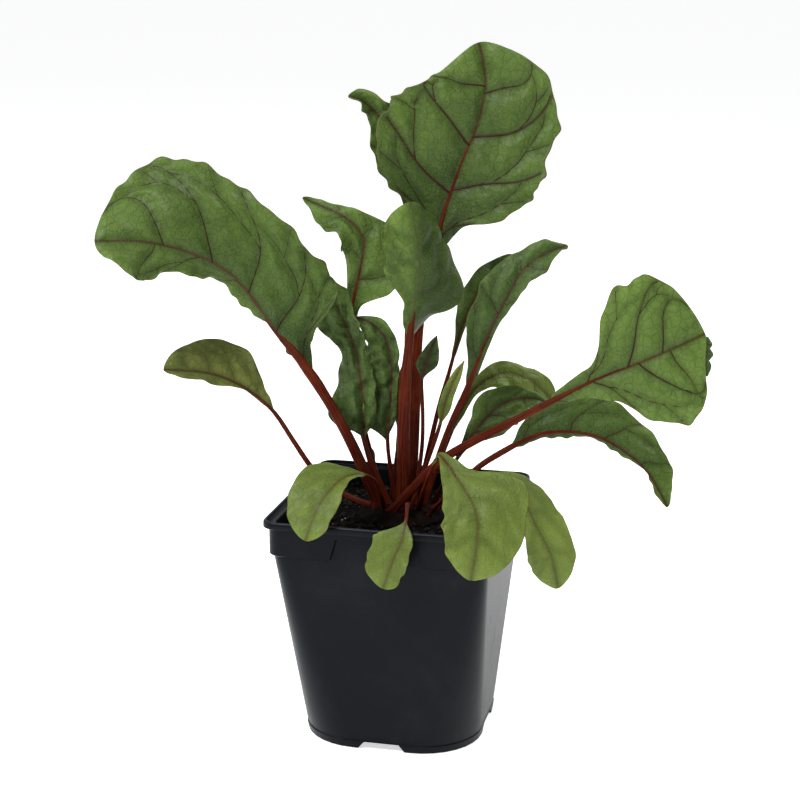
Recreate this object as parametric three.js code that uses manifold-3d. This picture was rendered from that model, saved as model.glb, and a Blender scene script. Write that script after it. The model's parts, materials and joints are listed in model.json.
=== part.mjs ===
// A young red-stemmed chard plant in a square nursery pot.
// Millimetres, +Z up. The origin is the middle of the pot's underside, and the pot's front faces -Y.
import * as THREE from 'three';
import { mergeVertices } from 'three/addons/utils/BufferGeometryUtils.js';
import Module from 'manifold-3d';

// ---- Pot ----
const potWidth = 90;          // across the outside of the lip
const potHeight = 93.5;
const potWall = 1.3;
const potFloor = 2.2;
const lipHeight = 2.8;        // the lip round the top
const lipEdge = 0.8;          // small slope on the lip's top outer edge
const collarProud = 1.8;      // how far the collar sits inside the lip
const collarHeight = 11.2;    // below the lip
const bodyInset = 3.1;        // from the lip's face to the body's face under the collar
const bodyTaper = 6.7;        // how much each side leans in from there to the base
const rimCorner = 5.5;        // corner radius at the lip
const baseCorner = 24;        // corner radius at the base
const recessWidth = 36;       // the gap in the collar at the middle of each side, at its lower edge
const recessTop = 31.2;       // the same at its upper edge
const bandHeight = 5.6;       // from the pot's top down to the gaps
const notchWidth = 18.5;      // drainage notch in each bottom edge
const notchTop = 13.5;
const notchHeight = 3;
const notchDepth = 6;

// ---- Soil and crown ----
const soilDrop = 8;           // from the rim down to the soil
const soilGap = 0.4;          // between the soil and the pot
const crownRadius = 17;
const crownHeight = 4.5;
const touchGap = 0.35;        // between any two pieces that rest on each other
const innerRing = 5.2;        // the stalks stand on the crown in three rings
const middleRing = 9.6;
const outerRing = 14.4;

// ---- Leaves ----
const bladeThickness = 1.2;
const stalkStep = 15;         // spacing of the sections along a stalk
const bladeStep = 8;          // and along a blade
const leastBladeSteps = 6;
const edgeWidth = 0.6;        // the narrowest half blade
const topShare = 0.6;         // a stalk is flatter above than below: its rise as a share of its depth

const cornerSteps = 6;        // facets round a pot corner
const bodySteps = 4;          // levels between the base and the collar

const rim = potWidth / 2;
const soilTop = potHeight - soilDrop;
const lipBottom = potHeight - lipHeight;
const collarBottom = lipBottom - collarHeight;
const bodyTopHalf = rim - bodyInset;
const baseHalf = bodyTopHalf - bodyTaper;
const collarHalf = rim - collarProud;
const degrees = Math.PI / 180;

const wasm = await Module();
wasm.setup();

// A closed mesh becomes a solid that can be joined and cut, and back again.
function toSolid(geometry) {
  const bare = geometry.clone();
  bare.deleteAttribute('normal');
  bare.deleteAttribute('uv');
  const merged = mergeVertices(bare, 1e-4);
  return new wasm.Manifold(new wasm.Mesh({
    numProp: 3,
    vertProperties: new Float32Array(merged.attributes.position.array),
    triVerts: new Uint32Array(merged.index.array),
  }));
}

function toGeometry(solid) {
  const mesh = solid.getMesh();
  const geometry = new THREE.BufferGeometry();
  geometry.setAttribute('position', new THREE.BufferAttribute(new Float32Array(mesh.vertProperties), 3));
  geometry.setIndex(new THREE.BufferAttribute(new Uint32Array(mesh.triVerts), 1));
  return geometry;
}

// Rings of equally many points, joined in order, with a fan from a middle point at each end.
// The points of a ring run anticlockwise seen from the last ring.
function loft(rings, firstMiddle, lastMiddle) {
  const around = rings[0].length;
  const points = [firstMiddle, ...rings.flat(), lastMiddle];
  const last = points.length - 1;
  const index = [];
  const at = (ring, step) => 1 + ring * around + (step % around);
  for (let step = 0; step < around; step += 1) {
    index.push(0, at(0, step + 1), at(0, step));
    index.push(last, at(rings.length - 1, step), at(rings.length - 1, step + 1));
    for (let ring = 0; ring < rings.length - 1; ring += 1) {
      index.push(at(ring, step), at(ring, step + 1), at(ring + 1, step + 1));
      index.push(at(ring, step), at(ring + 1, step + 1), at(ring + 1, step));
    }
  }
  const geometry = new THREE.BufferGeometry();
  geometry.setAttribute('position', new THREE.Float32BufferAttribute(points.flatMap((p) => p.toArray()), 3));
  geometry.setIndex(index);
  return geometry;
}

// ---- Pot ----
function squareRing(half, corner, height) {
  const ring = [];
  for (let quarter = 0; quarter < 4; quarter += 1) {
    for (let step = 0; step <= cornerSteps; step += 1) {
      const angle = (quarter + step / cornerSteps) * 90 * degrees;
      const middle = (quarter * 90 + 45) * degrees;
      ring.push(new THREE.Vector3(
        (half - corner) * Math.sign(Math.cos(middle)) + corner * Math.cos(angle),
        (half - corner) * Math.sign(Math.sin(middle)) + corner * Math.sin(angle),
        height,
      ));
    }
  }
  return ring;
}

function squareLoft(levels) {
  const rings = levels.map(([half, corner, height]) => squareRing(half, corner, height));
  const first = new THREE.Vector3(0, 0, levels[0][2]);
  const last = new THREE.Vector3(0, 0, levels.at(-1)[2]);
  return loft(rings, first, last);
}

// The body's half width and corner radius at a height, less an inset.
function bodyLevel(height, inset) {
  const up = height / collarBottom;
  const half = THREE.MathUtils.lerp(baseHalf, bodyTopHalf, up) - inset;
  const corner = THREE.MathUtils.lerp(baseCorner, rimCorner, up) - inset;
  return [half, corner, height];
}

function bodyLevels(from, to, inset) {
  const levels = [];
  for (let step = 0; step <= bodySteps; step += 1) {
    levels.push(bodyLevel(THREE.MathUtils.lerp(from, to, step / bodySteps), inset));
  }
  return levels;
}

const cavityTopHalf = bodyTopHalf - potWall;
const cavityCorner = rimCorner - potWall;
const lipCavityHalf = rim - potWall;

function potGeometry() {
  const body = toSolid(squareLoft([...bodyLevels(0, collarBottom, 0), [bodyTopHalf, rimCorner, lipBottom + 1]]));
  const collar = toSolid(squareLoft([
    [collarHalf, rimCorner, collarBottom],
    [collarHalf, rimCorner, lipBottom + 1],
  ]));
  const lip = toSolid(squareLoft([
    [rim, rimCorner, lipBottom],
    [rim, rimCorner, potHeight - lipEdge],
    [rim - lipEdge / 2, rimCorner, potHeight],
  ]));
  const cavity = toSolid(squareLoft([
    ...bodyLevels(potFloor, collarBottom, potWall),
    [cavityTopHalf, cavityCorner, lipBottom],
    [lipCavityHalf, cavityCorner, lipBottom + potWall],
    [lipCavityHalf, cavityCorner, potHeight + 1],
  ]));
  const recess = new THREE.Shape();
  recess.moveTo(-recessWidth / 2, collarBottom - 1);
  recess.lineTo(recessWidth / 2, collarBottom - 1);
  recess.lineTo(recessTop / 2, potHeight - bandHeight);
  recess.lineTo(-recessTop / 2, potHeight - bandHeight);
  recess.closePath();
  const notch = new THREE.Shape();
  notch.moveTo(-notchWidth / 2, -1);
  notch.lineTo(notchWidth / 2, -1);
  notch.lineTo(notchTop / 2, notchHeight);
  notch.lineTo(-notchTop / 2, notchHeight);
  notch.closePath();

  let shell = body;
  let panels = collar;
  for (let side = 0; side < 4; side += 1) {
    const gap = new THREE.ExtrudeGeometry(recess, { depth: collarProud + bodyInset, bevelEnabled: false });
    gap.rotateX(90 * degrees);
    gap.translate(0, -bodyTopHalf, 0);
    gap.rotateZ(side * 90 * degrees);
    panels = panels.subtract(toSolid(gap));
  }
  shell = shell.add(panels).add(lip).subtract(cavity);
  for (let side = 0; side < 4; side += 1) {
    const cut = new THREE.ExtrudeGeometry(notch, { depth: notchDepth + 1, bevelEnabled: false });
    cut.rotateX(90 * degrees);
    cut.translate(0, -baseHalf + notchDepth, 0);
    cut.rotateZ(side * 90 * degrees);
    shell = shell.subtract(toSolid(cut));
  }
  return toGeometry(shell);
}

function soilGeometry() {
  const inset = potWall + soilGap;
  return squareLoft([
    ...bodyLevels(potFloor + soilGap, collarBottom, inset),
    [bodyTopHalf - inset, rimCorner - inset, soilTop],
  ]);
}

// ---- Crown: a low dome on the soil ----
function crownHeightAt(radius) {
  const share = Math.min(radius / crownRadius, 1);
  return touchGap + crownHeight * Math.sqrt(1 - share * share);
}

function crownGeometry() {
  const outline = [new THREE.Vector2(0, touchGap), new THREE.Vector2(crownRadius, touchGap)];
  for (let step = 1; step <= 6; step += 1) {
    const angle = step * 15 * degrees;
    const height = touchGap + crownHeight * Math.sin(angle);
    outline.push(new THREE.Vector2(step === 6 ? 0 : crownRadius * Math.cos(angle), height));
  }
  const dome = new THREE.LatheGeometry(outline, 32);
  dome.rotateX(90 * degrees);
  return toGeometry(toSolid(dome));
}

// ---- Leaves ----
// A leaf is one loft from its foot on the crown to its tip. Its route follows the middle of the stalk and
// then the midrib, in millimetres from the middle of the soil's surface. foot is [bearing, ring].
// stalk is [width at the foot, width where the blade starts], and bladeAt is the route point where the
// blade starts. left and right are the half widths of the blade, evenly spaced from there to the tip, seen
// with the tip up and the upper face towards the viewer. face is where that upper face looks, as
// [bearing from -Y towards +X, lift] at the blade's start and at its tip, and footFace is the same at the
// foot where the stalk twists. foldLeft and foldRight bend the halves up from the midrib,
// in degrees, and are pairs where the start and the tip differ.
const leaves = [
  {
    name: 'tall', foot: [60, innerRing], stalk: [4.6, 3.6], bladeAt: 3,
    route: [[3, 8, 32], [4, 15, 80], [11, 18, 113], [18, 21, 136], [25, 24, 155], [27, 26, 170], [24, 27, 184]],
    left: [5, 27, 32, 33, 31, 28, 19, 5], right: [7, 34, 38, 37, 33, 20, 7, 3],
    face: [[13, 5], [13, 20]], foldLeft: 8, foldRight: 8, colour: 0x4f7a3a,
  },
  {
    name: 'tall_back', foot: [95, middleRing], stalk: [3.6, 2.6], bladeAt: 4,
    route: [[-3, 22, 40], [-5, 34, 85], [-5, 37, 105], [-7, 39, 121], [-14, 42, 144], [-22, 40, 157], [-30, 34, 162]],
    left: [3, 9, 7, 3, 1.5, 1], right: [3, 13, 15, 10, 4, 1],
    face: [[0, 5], [-10, 40]], foldLeft: 12, foldRight: 12, colour: 0x4a7236,
  },
  {
    name: 'left_arch', foot: [200, middleRing], stalk: [4.8, 3.8], bladeAt: 2,
    route: [[-18, -12, 33], [-30, -17, 57], [-43, -23, 76], [-58, -28, 98], [-70, -34, 107], [-86, -42, 113],
      [-105, -50, 114]],
    left: [2.5, 4, 5, 5, 6, 8, 11, 4], right: [2.5, 14, 32, 34, 32, 33, 26, 4],
    face: [[40, 0], [-15, 40]], foldLeft: [-85, 5], foldRight: 5, colour: 0x4c7438,
  },
  {
    name: 'pointed', foot: [163, middleRing], stalk: [3.4, 2.6], bladeAt: 2,
    route: [[-21, 4, 53], [-21, 3, 80], [-17, 3, 100], [-16, 4, 109], [-22, 4, 117], [-31, 5, 121], [-41, 5, 125]],
    left: [3, 4, 8, 6, 7, 1], right: [4, 17, 16, 6, 3, 1],
    face: [[10, 5], [0, 40]], foldLeft: 10, foldRight: 6, colour: 0x527c3c,
  },
  {
    name: 'centre', foot: [300, 0.5], stalk: [5, 4.6], bladeAt: 2,
    route: [[2, -3, 56], [5, -3, 82], [8, -4, 100], [7, -6, 114], [4, -5, 126]],
    left: [3, 12, 13, 11, 10, 5], right: [12, 18, 18, 15, 11, 5],
    face: [[13, 5], [13, 25]], foldLeft: 5, foldRight: -25, colour: 0x5a8440,
  },
  {
    name: 'slim', foot: [62, middleRing], stalk: [2.2, 1.6], bladeAt: 3,
    route: [[12, 17, 44], [15, 22, 57], [17, 26, 67], [23, 33, 84], [29, 41, 92], [38, 50, 98]],
    left: [1.5, 5, 6, 5, 1], right: [1.2, 1.5, 2, 3, 1],
    face: [[13, 5], [13, 50]], foldLeft: 10, foldRight: 10, colour: 0x4f7a3c,
  },
  {
    name: 'right_upper', foot: [28, middleRing], stalk: [3, 2.2], bladeAt: 2,
    route: [[17, 7, 34], [23, 9, 48], [32, 14, 73], [38, 17, 86], [44, 21, 97], [52, 24, 103], [60, 29, 106]],
    left: [1.6, 4, 11, 10, 6, 1], right: [1.6, 1.6, 2, 4, 6, 1],
    face: [[13, 0], [13, 50]], foldLeft: 5, foldRight: 5, colour: 0x446b38,
  },
  {
    name: 'narrow', foot: [330, innerRing], stalk: [1.8, 1.4], bladeAt: 1,
    route: [[16, -6, 38], [19, -6, 50], [23, -6, 60], [26, -6, 66]],
    left: [1, 2.5, 2.6, 2, 0.8], right: [1, 2.5, 2.6, 2, 0.8],
    face: [[13, 0], [13, 20]], foldLeft: 15, foldRight: 15, colour: 0x6d9648,
  },
  {
    name: 'yellow', foot: [62, outerRing], stalk: [2.4, 2], bladeAt: 1,
    route: [[16, 31, 33], [22, 39, 44], [32, 48, 49], [43, 56, 44], [51, 62, 34]],
    left: [2, 3, 4.5, 4.5, 4, 1], right: [2, 3, 6, 11, 9, 1],
    face: [[13, 20], [30, 35]], foldLeft: 0, foldRight: 0, colour: 0x86a552,
  },
  {
    name: 'dark_arch', foot: [38, outerRing], stalk: [2.2, 1.8], bladeAt: 1,
    route: [[22, 18, 26], [28, 23, 34], [35, 27, 41], [44, 31, 43], [52, 34, 41]],
    left: [2, 6, 8, 6, 3, 1], right: [2, 6, 10, 9, 4, 1],
    face: [[13, 10], [20, 40]], foldLeft: 10, foldRight: 10, colour: 0x4d7538,
  },
  {
    name: 'narrow_dark', foot: [12, innerRing], stalk: [1.8, 1.4], bladeAt: 2,
    route: [[7, 7, 34], [6, 8, 52], [9, 8, 64], [12, 9, 72]],
    left: [1, 4, 3, 1], right: [1, 3.5, 4, 1],
    face: [[13, 0], [13, 20]], foldLeft: 20, foldRight: 20, colour: 0x486f38,
  },
  {
    name: 'right_fan', foot: [264, middleRing], stalk: [3.6, 3], bladeAt: 3,
    route: [[19, -13, 28], [40, -12, 41], [56, -9, 50], [78, -6, 62], [94, -5, 69], [107, -2, 75], [116, 3, 79]],
    left: [1.5, 3, 6, 14, 28, 32, 27, 9], right: [1.5, 3, 6, 12, 22, 28, 24, 10],
    face: [[10, 12], [10, 12]], foldLeft: 5, foldRight: 5, colour: 0x5f8c42,
  },
  {
    name: 'right_droop', foot: [5, outerRing], stalk: [2.8, 2.2], bladeAt: 2,
    route: [[32, 9, 22], [39, 12, 26], [52, 18, 32], [62, 20, 33], [75, 22, 31], [91, 24, 21], [99, 23, 11],
      [103, 22, 4]],
    left: [1.6, 6, 12.5, 16, 15, 13, 8, 2], right: [1.5, 2, 3, 3, 3, 3, 2, 1.5],
    face: [[5, 25], [30, 20]], foldLeft: 0, foldRight: -70, colour: 0x57823e,
  },
  {
    name: 'left_low', foot: [184, outerRing], stalk: [2.4, 1.9], bladeAt: 3,
    route: [[-26, 0, 8], [-37, -3, 19], [-49, -6, 39], [-59, -10, 50], [-72, -15, 57], [-90, -23, 60]],
    left: [1, 1.5, 2.5, 4.5, 4.6, 1], right: [1, 3, 9, 9, 6.5, 1],
    face: [[-5, 30], [-15, 40]], foldLeft: 5, foldRight: 5, colour: 0x44703a,
  },
  {
    name: 'crinkled', foot: [195, innerRing], stalk: [2.4, 1.8], bladeAt: 1,
    route: [[-14, -3, 30], [-15, -3, 47], [-18, -2, 66], [-22, -3, 78], [-29, -7, 98]],
    left: [1.2, 13, 12, 8, 5, 11, 7, 1], right: [1, 3, 2, 1.6, 5, 6, 6, 1],
    face: [[13, 0], [0, 15]], foldLeft: 8, foldRight: 8, colour: 0x41663a,
  },
  {
    name: 'folded', foot: [130, innerRing], stalk: [2.4, 1.8], bladeAt: 1,
    route: [[-6, 1, 28], [-5, 2, 48], [-5, 3, 61], [-7, 2, 71], [-12, 0, 77], [-18, -2, 80]],
    left: [1.2, 9, 10, 8, 10, 4.5, 1], right: [1, 1.2, 1.4, 2, 3.5, 4, 1],
    face: [[13, 0], [13, 30]], foldLeft: 8, foldRight: 8, colour: 0x3f6438,
  },
  {
    name: 'hook', foot: [130, middleRing], stalk: [1.6, 1.2], bladeAt: 1,
    route: [[-4, 12, 32], [-4, 14, 46], [-3, 16, 59]],
    left: [0.9, 2.4, 2.6, 2, 0.6], right: [0.9, 2.4, 2.6, 2, 0.6],
    face: [[13, 0], [13, 10]], foldLeft: 20, foldRight: 20, colour: 0x3f6639,
  },
  {
    name: 'tiny', foot: [142, outerRing], stalk: [1.4, 1.1], bladeAt: 1,
    route: [[-14, 11, 14], [-17, 14, 24]],
    left: [0.8, 2.2, 2, 0.6], right: [0.8, 2.2, 2, 0.6],
    face: [[13, 0], [13, 10]], foldLeft: 20, foldRight: 20, colour: 0x4f7a40,
  },
  {
    name: 'rim_left', foot: [236, middleRing], stalk: [2.4, 1.8], bladeAt: 1,
    route: [[-7, -20, soilDrop + 13], [-14, -30, soilDrop + 16], [-20, 4 - rim, soilDrop + 11],
      [-23, -rim - 2, soilDrop + 4], [-25, -rim - 6, soilDrop - 4]],
    left: [1, 2, 4, 6, 7, 2], right: [1, 5.5, 12, 12, 8, 2],
    footFace: [150, 50], face: [[0, 75], [-5, 20]], foldLeft: 5, foldRight: 5, colour: 0x6f9a4c,
  },
  {
    name: 'rim_front', foot: [296, middleRing], stalk: [2, 1.6], bladeAt: 3,
    route: [[5, -12, soilDrop], [9, -29, soilDrop + 6], [12, 1 - rim, soilDrop + 6], [12, -rim - 6, soilDrop - 1],
      [9, -rim - 7, soilDrop - 8], [5, -rim - 7, soilDrop - 20]],
    left: [1, 3, 5.3, 5.3, 1.5], right: [1, 8, 10.5, 8, 1.5],
    footFace: [180, 50], face: [[0, 75], [10, 5]], foldLeft: 5, foldRight: 5, colour: 0x7aa252,
  },
  {
    name: 'rim_right', foot: [328, middleRing], stalk: [2.6, 2], bladeAt: 2,
    route: [[14, -19, 20], [20, -26, 33], [30, -36, soilDrop + 19], [rim - 6, -rim - 2, soilDrop + 10],
      [rim - 5, -rim - 6, soilDrop], [rim - 7, -rim - 7, soilDrop - 14]],
    left: [1, 4, 14, 19, 16, 11, 2.5], right: [1.5, 6, 10, 12.5, 12.5, 10, 2.5],
    footFace: [-140, 50], face: [[15, 40], [20, 5]], foldLeft: 0, foldRight: 0, colour: 0x729c4a,
  },
  {
    name: 'rim_corner', foot: [334, outerRing], stalk: [2.4, 1.9], bladeAt: 2,
    route: [[26, -7, 18], [36, -4, 20], [rim + 2, -3, soilDrop + 6], [rim + 9, -1, soilDrop - 8],
      [rim + 15, 0, soilDrop - 20], [rim + 18, 1, soilDrop - 34]],
    left: [1.5, 6, 11, 13, 10, 2], right: [1.5, 4, 5.5, 5.5, 5, 2],
    footFace: [-90, 50], face: [[40, 60], [30, 15]], foldLeft: 0, foldRight: 0, colour: 0x6b9448,
  },
];

// A smooth value between evenly spaced ones.
function profile(values, share) {
  const place = share * (values.length - 1);
  const at = Math.min(Math.floor(place), values.length - 2);
  const before = values[Math.max(at - 1, 0)];
  const after = values[Math.min(at + 2, values.length - 1)];
  const part = place - at;
  const slopeIn = (values[at + 1] - before) / 2;
  const slopeOut = (after - values[at]) / 2;
  const square = part * part;
  const cube = square * part;
  const value = (2 * cube - 3 * square + 1) * values[at] + (cube - 2 * square + part) * slopeIn
    + (3 * square - 2 * cube) * values[at + 1] + (cube - square) * slopeOut;
  return Math.max(value, edgeWidth);
}

function lookingTo([bearing, lift]) {
  return new THREE.Vector3(
    Math.sin(bearing * degrees) * Math.cos(lift * degrees),
    -Math.cos(bearing * degrees) * Math.cos(lift * degrees),
    Math.sin(lift * degrees),
  );
}

// One section of eight points: right edge, upper face from right to left, left edge, lower face.
function leafRing(place, along, face, halves, folds, thickness) {
  const up = face.clone().addScaledVector(along, -face.dot(along)).normalize();
  const right = new THREE.Vector3().crossVectors(along, up).normalize();
  const arms = [[right, halves[0], folds[0]], [right.clone().negate(), halves[1], folds[1]]];
  const point = (arm, share, rise) => {
    const [outward, half, fold] = arm;
    const reach = outward.clone().multiplyScalar(Math.cos(fold)).addScaledVector(up, Math.sin(fold));
    const lift = up.clone().multiplyScalar(Math.cos(fold)).addScaledVector(outward, -Math.sin(fold));
    return place.clone().addScaledVector(reach, half * share).addScaledVector(lift, rise);
  };
  const [middle, flank] = thickness;
  return [
    point(arms[0], 1, 0),
    point(arms[0], 0.6, flank),
    place.clone().addScaledVector(up, middle * topShare),
    point(arms[1], 0.6, flank),
    point(arms[1], 1, 0),
    point(arms[1], 0.6, -flank),
    place.clone().addScaledVector(up, -middle),
    point(arms[0], 0.6, -flank),
  ].reverse();
}

function leafGeometry(leaf) {
  const [bearing, ring] = leaf.foot;
  const foot = new THREE.Vector3(
    ring * Math.cos(bearing * degrees),
    ring * Math.sin(bearing * degrees),
    crownHeightAt(ring) + leaf.stalk[0] / 2 * Math.min(ring / crownRadius, 1) + touchGap,
  );
  const spots = [foot, ...leaf.route.map((spot) => new THREE.Vector3(...spot))];
  const curve = new THREE.CatmullRomCurve3(spots, false, 'centripetal');
  const fine = 100;
  curve.arcLengthDivisions = fine * (spots.length - 1);
  const lengths = curve.getLengths();
  const whole = lengths.at(-1);
  const stalkLength = lengths[fine * leaf.bladeAt];
  const stalkSteps = Math.ceil(stalkLength / stalkStep);
  const bladeSteps = Math.max(Math.ceil((whole - stalkLength) / bladeStep), leastBladeSteps);
  const rings = [];
  const faces = leaf.face.map(lookingTo);
  const stalkEnd = leaf.stalk[1] / 2;
  const tipThickness = bladeThickness / 2;
  for (let step = 0; step < stalkSteps; step += 1) {
    const share = step / stalkSteps;
    const spot = share * stalkLength / whole;
    const half = THREE.MathUtils.lerp(leaf.stalk[0] / 2, stalkEnd, share);
    const along = step === 0 ? new THREE.Vector3(0, 0, 1) : curve.getTangentAt(spot);
    const face = lookingTo(leaf.footFace ?? leaf.face[0]).lerp(faces[0], share);
    rings.push(leafRing(curve.getPointAt(spot), along, face, [half, half], [0, 0], [half * 0.85, half * 0.7]));
  }
  for (let step = 0; step < bladeSteps; step += 1) {
    const share = step / bladeSteps;
    const spot = (stalkLength + share * (whole - stalkLength)) / whole;
    const face = faces[0].clone().lerp(faces[1], share);
    const halves = [leaf.right, leaf.left].map((widths) => Math.max(profile(widths, share), stalkEnd * (1 - share)));
    const opening = Math.min(share * bladeSteps / 2, 1);
    const folds = [leaf.foldRight, leaf.foldLeft].map((fold) => {
      const [start, end] = [fold].flat().concat(fold);
      return THREE.MathUtils.lerp(start, end, share) * opening * degrees;
    });
    const middle = THREE.MathUtils.lerp(stalkEnd * 0.85, tipThickness, share);
    const flank = THREE.MathUtils.lerp(stalkEnd * 0.7, tipThickness, opening);
    rings.push(leafRing(curve.getPointAt(spot), curve.getTangentAt(spot), face, halves, folds, [middle, flank]));
  }
  return loft(rings, curve.getPoint(0), curve.getPoint(1));
}

// ---- Assembly ----
function piece(name, geometry, colour, roughness) {
  geometry.computeVertexNormals();
  const mesh = new THREE.Mesh(geometry, new THREE.MeshStandardMaterial({ color: colour, roughness, metalness: 0 }));
  mesh.name = name;
  return mesh;
}

const group = new THREE.Group();
group.add(piece('pot', potGeometry(), 0x26282b, 0.45));
group.add(piece('soil', soilGeometry(), 0x17120e, 0.95));
const plant = new THREE.Group();
plant.position.z = soilTop;
plant.add(piece('crown', crownGeometry(), 0x6a2420, 0.6));
for (const leaf of leaves) {
  plant.add(piece(`leaf_${leaf.name}`, leafGeometry(leaf), leaf.colour, 0.45));
}
group.add(plant);

export default group;
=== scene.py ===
# %% [markdown]
# # A potted chard
# This lesson finishes a young red-stemmed chard in a black nursery pot. The CAD model gives the frame:
# where the pot stands, how deep the compost is, and how each leaf leans and arches. Every piece made here
# is laid over its CAD solid, so its size, place and lean come from the frame.
# The frame loads first, and the boxes of its pot, compost and crown are measured from it. The finished
# plant has to stay inside it.

# %% Load the frame
import json
import math

import bmesh
import bpy
import numpy as np
from mathutils import Matrix, Vector, noise


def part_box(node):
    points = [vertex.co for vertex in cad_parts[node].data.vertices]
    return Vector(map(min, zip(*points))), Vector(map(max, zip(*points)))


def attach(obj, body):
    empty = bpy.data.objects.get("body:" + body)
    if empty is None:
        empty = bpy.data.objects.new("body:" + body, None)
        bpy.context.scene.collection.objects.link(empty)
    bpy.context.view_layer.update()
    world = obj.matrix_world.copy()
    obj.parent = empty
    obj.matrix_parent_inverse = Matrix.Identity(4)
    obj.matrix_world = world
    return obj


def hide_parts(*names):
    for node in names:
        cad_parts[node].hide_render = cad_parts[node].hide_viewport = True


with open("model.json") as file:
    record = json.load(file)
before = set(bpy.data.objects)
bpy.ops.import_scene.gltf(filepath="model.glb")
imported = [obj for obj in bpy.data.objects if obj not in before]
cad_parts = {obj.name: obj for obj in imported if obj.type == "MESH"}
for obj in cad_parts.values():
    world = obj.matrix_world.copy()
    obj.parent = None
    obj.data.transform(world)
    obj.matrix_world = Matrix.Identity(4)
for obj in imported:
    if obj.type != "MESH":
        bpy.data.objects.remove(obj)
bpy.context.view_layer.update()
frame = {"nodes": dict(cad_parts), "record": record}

mm = 0.001
pot_low, pot_high = (np.array(corner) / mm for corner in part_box("pot"))
soil_low, soil_high = (np.array(corner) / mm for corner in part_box("soil"))
crown_low, crown_high = (np.array(corner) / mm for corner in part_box("crown"))
print("pot", np.round(pot_high - pot_low, 1), "mm, compost surface at", round(soil_high[2], 1), "mm")

# %% [markdown]
# ## Camera
# A plant on a table is seen from a little above. A long lens keeps the leaves from bulging towards the eye.
# The camera's three axes are worked out from a turn and a lift, which is easier to read than Euler angles.

# %% Camera
view_turn = math.radians(13.25)
view_lift = math.radians(14.15)
view_distance = 0.7292
aim_across = -0.00076
aim_up = 0.12884


def add_object(name, data):
    made = bpy.data.objects.new(name, data)
    bpy.context.scene.collection.objects.link(made)
    return made


level = Vector((math.sin(view_turn), -math.cos(view_turn), 0)) * math.cos(view_lift)
eye_back = level + Vector((0, 0, math.sin(view_lift)))
eye_right = Vector((math.cos(view_turn), math.sin(view_turn), 0))
eye_up = eye_back.cross(eye_right)
camera = add_object("camera", bpy.data.cameras.new("camera"))
camera.data.lens = 80
camera.data.sensor_width = 36
stand = Matrix((eye_right, eye_up, eye_back)).transposed().to_4x4()
stand.translation = eye_right * aim_across + eye_up * aim_up + eye_back * view_distance
camera.matrix_world = stand
bpy.context.scene.camera = camera
print("camera stands", round(stand.translation.z, 3), "m up")

# %% [markdown]
# ## Floor
# The floor is one pale plane, so wide that it fills the view. A curved studio backdrop would do as well, but
# it would show from the side. The floor glows a little, so that it stays white in soft light.

# %% Floor
floor_half = 20
corners = [(x * floor_half, y * floor_half, 0) for x, y in ((-1, -1), (1, -1), (1, 1), (-1, 1))]
floor_mesh = bpy.data.meshes.new("floor")
floor_mesh.from_pydata(corners, [], [(0, 1, 2, 3)])
floor = add_object("floor", floor_mesh)
floor_paint = bpy.data.materials.new("floor")
floor_paint.use_nodes = True
paint = floor_paint.node_tree.nodes["Principled BSDF"].inputs
paint["Base Color"].default_value = (0.86, 0.86, 0.86, 1)
paint["Roughness"].default_value = 0.8
paint["Specular IOR Level"].default_value = 0.1
paint["Emission Color"].default_value = (1, 1, 1, 1)
paint["Emission Strength"].default_value = 0.62
floor_mesh.materials.append(floor_paint)
print("floor", 2 * floor_half, "m wide")

# %% [markdown]
# ## Lamps
# Big soft lamps stand left, overhead and behind. Small ones would make waxy leaves look wet and hard, and
# would leave sharp shadows between the stalks. The lamp behind lights the far edges of leaves and pot.

# %% Lamps
plant_middle = Vector((0, 0, 0.13))


def add_softbox(name, spot, size, power):
    """A square lamp that looks at the middle of the plant."""
    lamp = bpy.data.lights.new(name, "AREA")
    lamp.size = size
    lamp.energy = power
    holder = add_object(name, lamp)
    holder.location = spot
    holder.rotation_euler = (plant_middle - Vector(spot)).to_track_quat("-Z", "Y").to_euler()


add_softbox("key_light", (-0.45, -0.75, 1.3), 0.55, 21)
add_softbox("left_light", (-1.0, -0.2, 0.5), 0.5, 2)
add_softbox("back_light", (0.7, 0.7, 1.0), 0.6, 9)
bpy.context.scene.view_settings.view_transform = "Standard"
print(len(bpy.data.lights), "soft lamps")

# %% [markdown]
# ## Shader maths in Python
# Node materials are easier to read as formulas. A Wire wraps one output socket: adding, subtracting or
# multiplying wires adds Math nodes, and 1 - wire works too. The nodes could be placed by hand in the editor,
# but a formula of ten terms is one line here and a wall of boxes there.


# %% Wire
class Wire:
    """An output socket that does arithmetic."""

    def __init__(self, finish, socket):
        self.finish = finish
        self.socket = socket

    def math(self, operation, *values):
        return self.finish.node("ShaderNodeMath", {"operation": operation}, dict(enumerate(values)))

    def __add__(self, other):
        return self.math("ADD", self, other)

    def __radd__(self, other):
        return self.math("ADD", other, self)

    def __sub__(self, other):
        return self.math("SUBTRACT", self, other)

    def __rsub__(self, other):
        return self.math("SUBTRACT", other, self)

    def __mul__(self, other):
        return self.math("MULTIPLY", self, other)

    def __rmul__(self, other):
        return self.math("MULTIPLY", other, self)

    def clamp(self, low=0.0, high=1.0):
        return self.math("MINIMUM", self.math("MAXIMUM", self, low), high)

    def between(self, low, high):
        """0 at low, 1 at high, and smooth in between."""
        return self.finish.node("ShaderNodeMapRange", {"interpolation_type": "SMOOTHSTEP"},
                                {"Value": self, "From Min": low, "From Max": high})


print("wires add, subtract, multiply, clamp and ease")

# %% [markdown]
# ## One class per finish
# A finish starts from the shader that Blender puts in every new material. Its node method adds any node:
# it takes the kind, then the settings, then what goes into the sockets. Colours are blended by Mix nodes,
# because a Math node would turn them grey. What is the same all over is set on the shader's own sockets.


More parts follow.
